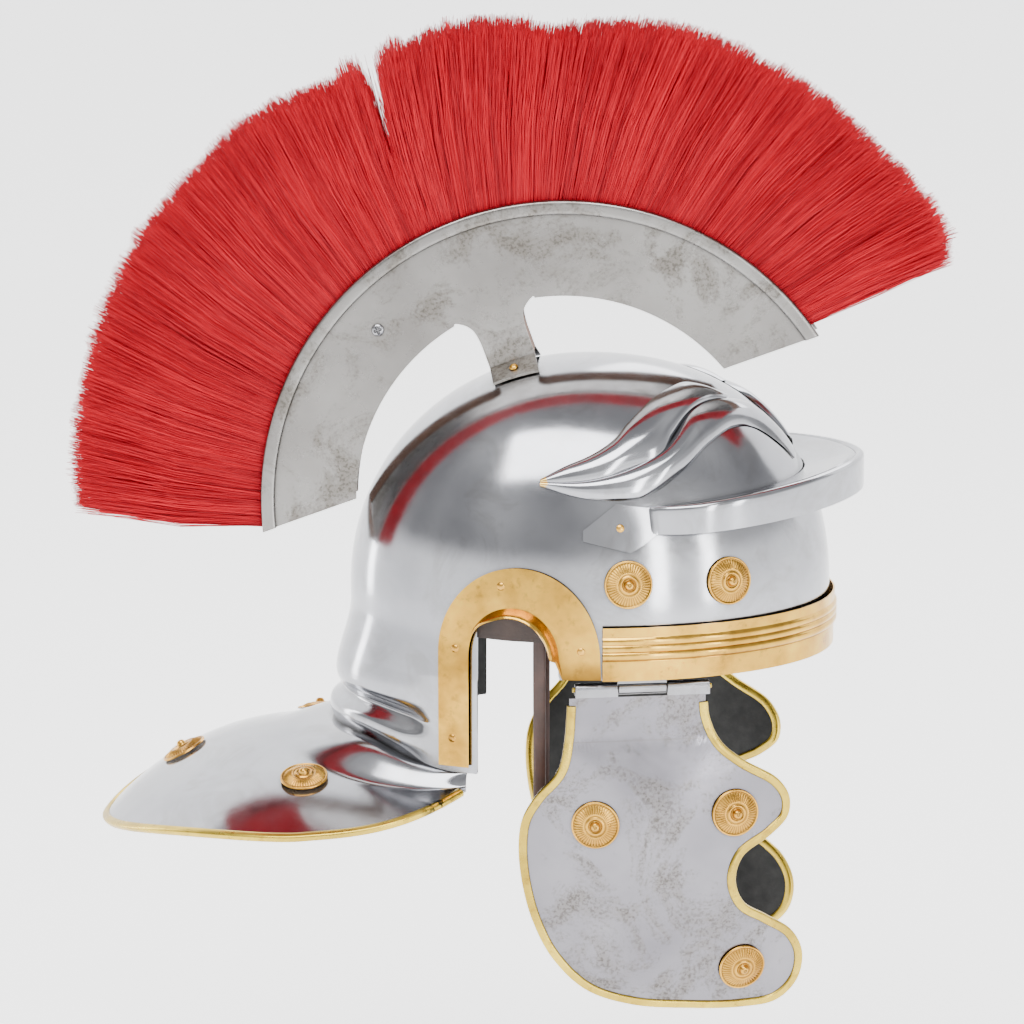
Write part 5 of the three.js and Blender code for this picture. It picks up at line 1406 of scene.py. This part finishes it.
def strands(name, count, rng, sides, start, radius):
    """Thin three-sided strands, gathered in locks. `sides` is how far from the crest's middle
    they stand, 0 to 1, and `start` the share of their length at which they begin."""
    at = rng.uniform(0, 1, count)
    side = rng.uniform(*sides, count) * rng.choice([-1, 1], count)
    lock_at = (np.arange(LOCKS) + rng.uniform(0.1, 0.9, LOCKS)) / LOCKS
    lock_push = rng.normal(0, 0.005, LOCKS)
    lock_tone = rng.uniform(0, 1, LOCKS)
    lock_cut = rng.normal(0, 0.01, LOCKS)
    nearest = np.clip((at * LOCKS).astype(int), 0, LOCKS - 1)
    pull = rng.uniform(0.1, 0.6, count)
    drift = (lock_at[nearest] + lock_push[nearest] - at) * pull
    cut = 0.99 + lock_cut[nearest] + np.minimum(0.015, rng.normal(0, 0.022, count))
    length = hair_length(at) * cut * (1 - 0.07 * np.abs(side) ** 3)
    stray = rng.normal(0, 1, (count, 2)) * np.array([0.003, 0.05])
    bend = rng.normal(0, 1, (count, 2)) * np.array([0.0018, 0.035])
    rings = []
    for share, width in STRAND_STOPS:
        up = start + (1 - start) * share
        bow = math.sin(up * math.pi)
        shift = drift * up ** 1.3 + stray[:, 0] * up + bend[:, 0] * bow
        across = np.clip(side + stray[:, 1] * up + bend[:, 1] * bow, -1.08, 1.08)
        centre = strand_points(at + shift, across, up, length)
        around = unit(np.stack([-centre[:, 2], np.zeros(count), centre[:, 0]], 1))
        for k in range(STRAND_SIDES):
            turn = (2 * math.pi * k / STRAND_SIDES + at * 997.0)[:, None]
            aside = np.cos(turn) * around + np.sin(turn) * np.array([0, 1, 0])
            rings.append(centre + radius * width * aside)
    points = np.stack(rings, 1).reshape(-1, 3)
    size = STRAND_SIDES * len(STRAND_STOPS)
    starts = np.arange(count)[:, None] * size
    tube = Build().tube(np.zeros((len(STRAND_STOPS), STRAND_SIDES, 3))).faces[:-2]
    faces = np.concatenate([starts + np.array(face) for face in tube])
    mesh = bpy.data.meshes.new(name)
    mesh.vertices.add(len(points))
    mesh.vertices.foreach_set("co", (points * MM).astype(np.float32).ravel())
    mesh.loops.add(len(faces) * 4)
    mesh.loops.foreach_set("vertex_index", faces.astype(np.int32).ravel())
    mesh.polygons.add(len(faces))
    mesh.polygons.foreach_set("loop_start", np.arange(0, len(faces) * 4, 4, dtype=np.int32))
    mesh.polygons.foreach_set("use_smooth", np.ones(len(faces), bool))
    mesh.update(calc_edges=True)
    mesh.materials.append(HAIR)
    obj = put(name, mesh)
    tone = np.clip(0.35 + 0.4 * lock_tone[nearest] + rng.normal(0, 0.16, count), 0, 1)
    # painted shade: strands darker near their roots
    lift = np.interp([share for share, _ in STRAND_STOPS], *STRAND_PAINTED_SHADE)
    shade = np.repeat(tone, size) + np.tile(np.repeat(lift, STRAND_SIDES), count)
    point_values(obj, "shade", np.clip(shade, 0, 1))
    obj.data.transform(CREST_PLACE)
    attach(obj, "helmet")


def plume():
    rng = np.random.default_rng(SEED)
    count = FULL_STRANDS
    for k in range(3):
        strands(f"plume_outer_{k + 1}", count, rng, (0.6, 1.0), 0.0, 0.24)
    strands("plume_inner", count // 2, rng, (0.0, 0.65), 0.6, 0.26)
    rings = []
    for at in np.linspace(0.012, 0.988, 170):
        length = hair_length(at)
        rings.append([strand_points(np.array(at), np.array(side), np.array(up), length)
                      for up, side in HEART_SECTION])
    obj = piece("plume_heart", Build().tube(rings), "helmet", [HAIR_SHADED_CORE],
                replaces=["plume"], sharp=None, place=CREST_PLACE)
    point_values(obj, "shade", rng.uniform(0, 1, len(obj.data.vertices)))


# Leather

def liner():
    off = -WALL - GAP
    rings = []
    for angle in angles_round(160):
        wave = 1.2 * math.sin(math.radians(angle * 5)) + 0.7 * math.sin(math.radians(angle * 11 + 40))
        heights = [LINER_LOW + 0.8 + wave * 0.4, WAIST, (WAIST + LINER_HIGH) / 2, LINER_HIGH - 0.5]
        outer = [bowl_point(angle, h, off) for h in heights]
        inner = [bowl_point(angle, h, off - LINER_THICKNESS) for h in heights[::-1]]
        rings.append(outer + inner)
    build = Build().tube(rings, closed=True)
    piece("head_band", build, "helmet", [LEATHER], replaces=["liner"], sharp=45)


def strap():
    """The strap's loop: down from each side of the headband, in at the waist and round the chin."""
    inside = float(bowl_half(STRAP_X, LINER_HIGH, -WALL - GAP - LINER_THICKNESS))
    top = inside - 0.8 - STRAP_THICKNESS / 2
    low = LINER_LOW - 4
    half = [(top, STRAP_TOP), (top, low)]
    for share in (0.3, 0.65, 1):
        aside = top + (STRAP_WAIST_HALF - top) * float(smooth(share))
        half.append((aside, low - (low - STRAP_WAIST) * share))
    fall = STRAP_WAIST - STRAP_BOTTOM
    middle = [(-STRAP_WAIST_HALF * math.cos(turn), STRAP_WAIST - fall * math.sin(turn))
              for turn in np.linspace(0, math.pi, 17)[1:-1]]
    line = spline([(-y, z) for y, z in half] + middle + half[::-1], 150)
    run = unit(np.gradient(line, axis=0))
    turn = ring_angles(20)
    wide = rounded(np.cos(turn), 0.45) * STRAP_WIDTH / 2
    thick = rounded(np.sin(turn), 0.6) * STRAP_THICKNESS / 2
    rings = [[(STRAP_X + w, y - dz * t, z + dy * t) for w, t in zip(wide, thick)]
             for (y, z), (dy, dz) in zip(line, run)]
    piece("chin_loop", Build().tube(rings), "helmet", [STRAP], replaces=["chin_strap"],
          sharp=60)


bowl()
guard_piping()
ear_guards()
brow_band()
peak()
eyebrows()
buttons()
cheeks()
crest()
plume()
liner()
strap()


# Floor, light and camera

PHOTO_SCALE = 0.49
PHOTO_CENTRE = (512.0, 512.0)
CROSS_AT = (589.0, 642.0)
RIM_OFFSET = 3.0
CAMERA_TILT = 12.0
CAMERA_YAW = 1.2
CAMERA_DISTANCE = 2500.0
SENSOR = 36.0
PHOTO_SIZE = 1024.0
FLOOR_LEVEL = -0.30
FLOOR_NEAR = -9.0
FLOOR_FAR = 3.0
FLOOR_HALF = 14.0
WALL_BEND = 2.5
WALL_TOP = 8.0
FLOOR_GLOW = 1.5
SKYLINE = (0.08, 0.2)
SKYLINE_GLOW = 2.4


def floor():
    """A pale floor that curves up into a wall behind the part, in metres."""
    profile = [(FLOOR_NEAR, 0.0), (FLOOR_FAR, 0.0)]
    for turn in np.linspace(0, math.pi / 2, 17)[1:]:
        profile.append((FLOOR_FAR + WALL_BEND * math.sin(turn), WALL_BEND - WALL_BEND * math.cos(turn)))
    profile.append((FLOOR_FAR + WALL_BEND, WALL_TOP))
    points = [(x, y, FLOOR_LEVEL + z) for y, z in profile for x in (-FLOOR_HALF, FLOOR_HALF)]
    faces = [(2 * k, 2 * k + 1, 2 * k + 3, 2 * k + 2) for k in range(len(profile) - 1)]
    mesh = bpy.data.meshes.new("floor")
    mesh.from_pydata(points, [], faces)
    mesh.polygons.foreach_set("use_smooth", [True] * len(faces))
    look = Look("pale_floor")
    look.set(Base_Color=(0.95, 0.95, 0.95, 1), Roughness=0.9, Emission_Color=(1, 1, 1, 1),
             Emission_Strength=FLOOR_GLOW)
    mesh.materials.append(look.material)
    put("floor", mesh)


def light(name, place, target, size, power):
    data = bpy.data.lights.new(name, "AREA")
    data.shape = "RECTANGLE"
    data.size, data.size_y = size
    data.energy = power
    obj = put(name, data)
    obj.location = place
    obj.rotation_euler = (Vector(target) - Vector(place)).to_track_quat("-Z", "Y").to_euler()


def world():
    """A soft white room, with dimmer and brighter zones for the metal to mirror."""
    made = bpy.data.worlds.new("studio")
    bpy.context.scene.world = made
    made.use_nodes = True
    room = Nodes(made.node_tree, "Generated")
    zones = room.ramp(room.noise(1.5, 1.0), ((0.38, (0.55, 0.55, 0.56, 1)), (0.62, (1, 1, 1, 1))))
    glow = (SKYLINE_GLOW, SKYLINE_GLOW, SKYLINE_GLOW, 1)
    background = room.nodes["Background"]
    room.feed(room.mix(room.span("Z", *SKYLINE, False), zones, glow), background.inputs["Color"])
    room.feed(1.0, background.inputs["Strength"])


def camera():
    tilt, yaw = math.radians(CAMERA_TILT), math.radians(CAMERA_YAW)
    aside = (PHOTO_CENTRE[0] - CROSS_AT[0]) * PHOTO_SCALE
    up = (CROSS_AT[1] - PHOTO_CENTRE[1]) * PHOTO_SCALE / math.cos(tilt) - RIM_OFFSET
    back = Vector((math.sin(yaw) * math.cos(tilt), -math.cos(yaw) * math.cos(tilt), math.sin(tilt)))
    data = bpy.data.cameras.new("camera")
    data.sensor_width = SENSOR
    data.sensor_fit = "HORIZONTAL"
    data.lens = SENSOR * (CAMERA_DISTANCE / PHOTO_SCALE) / PHOTO_SIZE
    data.clip_end = 100
    obj = put("camera", data)
    obj.location = (Vector((aside, 0, up)) + back * CAMERA_DISTANCE) * MM
    obj.rotation_euler = (-back).to_track_quat("-Z", "Y").to_euler()
    bpy.context.scene.camera = obj


floor()
world()
light("overhead", (-0.25, -0.8, 1.5), (-0.03, 0, 0.1), (1.5, 0.9), 44)
light("strip_front_near", (0.75, -1.5, 0.35), (0, 0, 0.05), (0.18, 1.2), 8)
light("strip_front_far", (1.5, -1.35, 0.35), (0, 0, 0.05), (0.2, 1.2), 9)
light("strip_rear", (-1.5, 0.75, 0.25), (0, 0, 0.05), (0.2, 1.2), 9)
light("rear_soft", (0.6, 1.4, 1.3), (-0.03, 0, 0.1), (1.2, 0.8), 14)
camera()
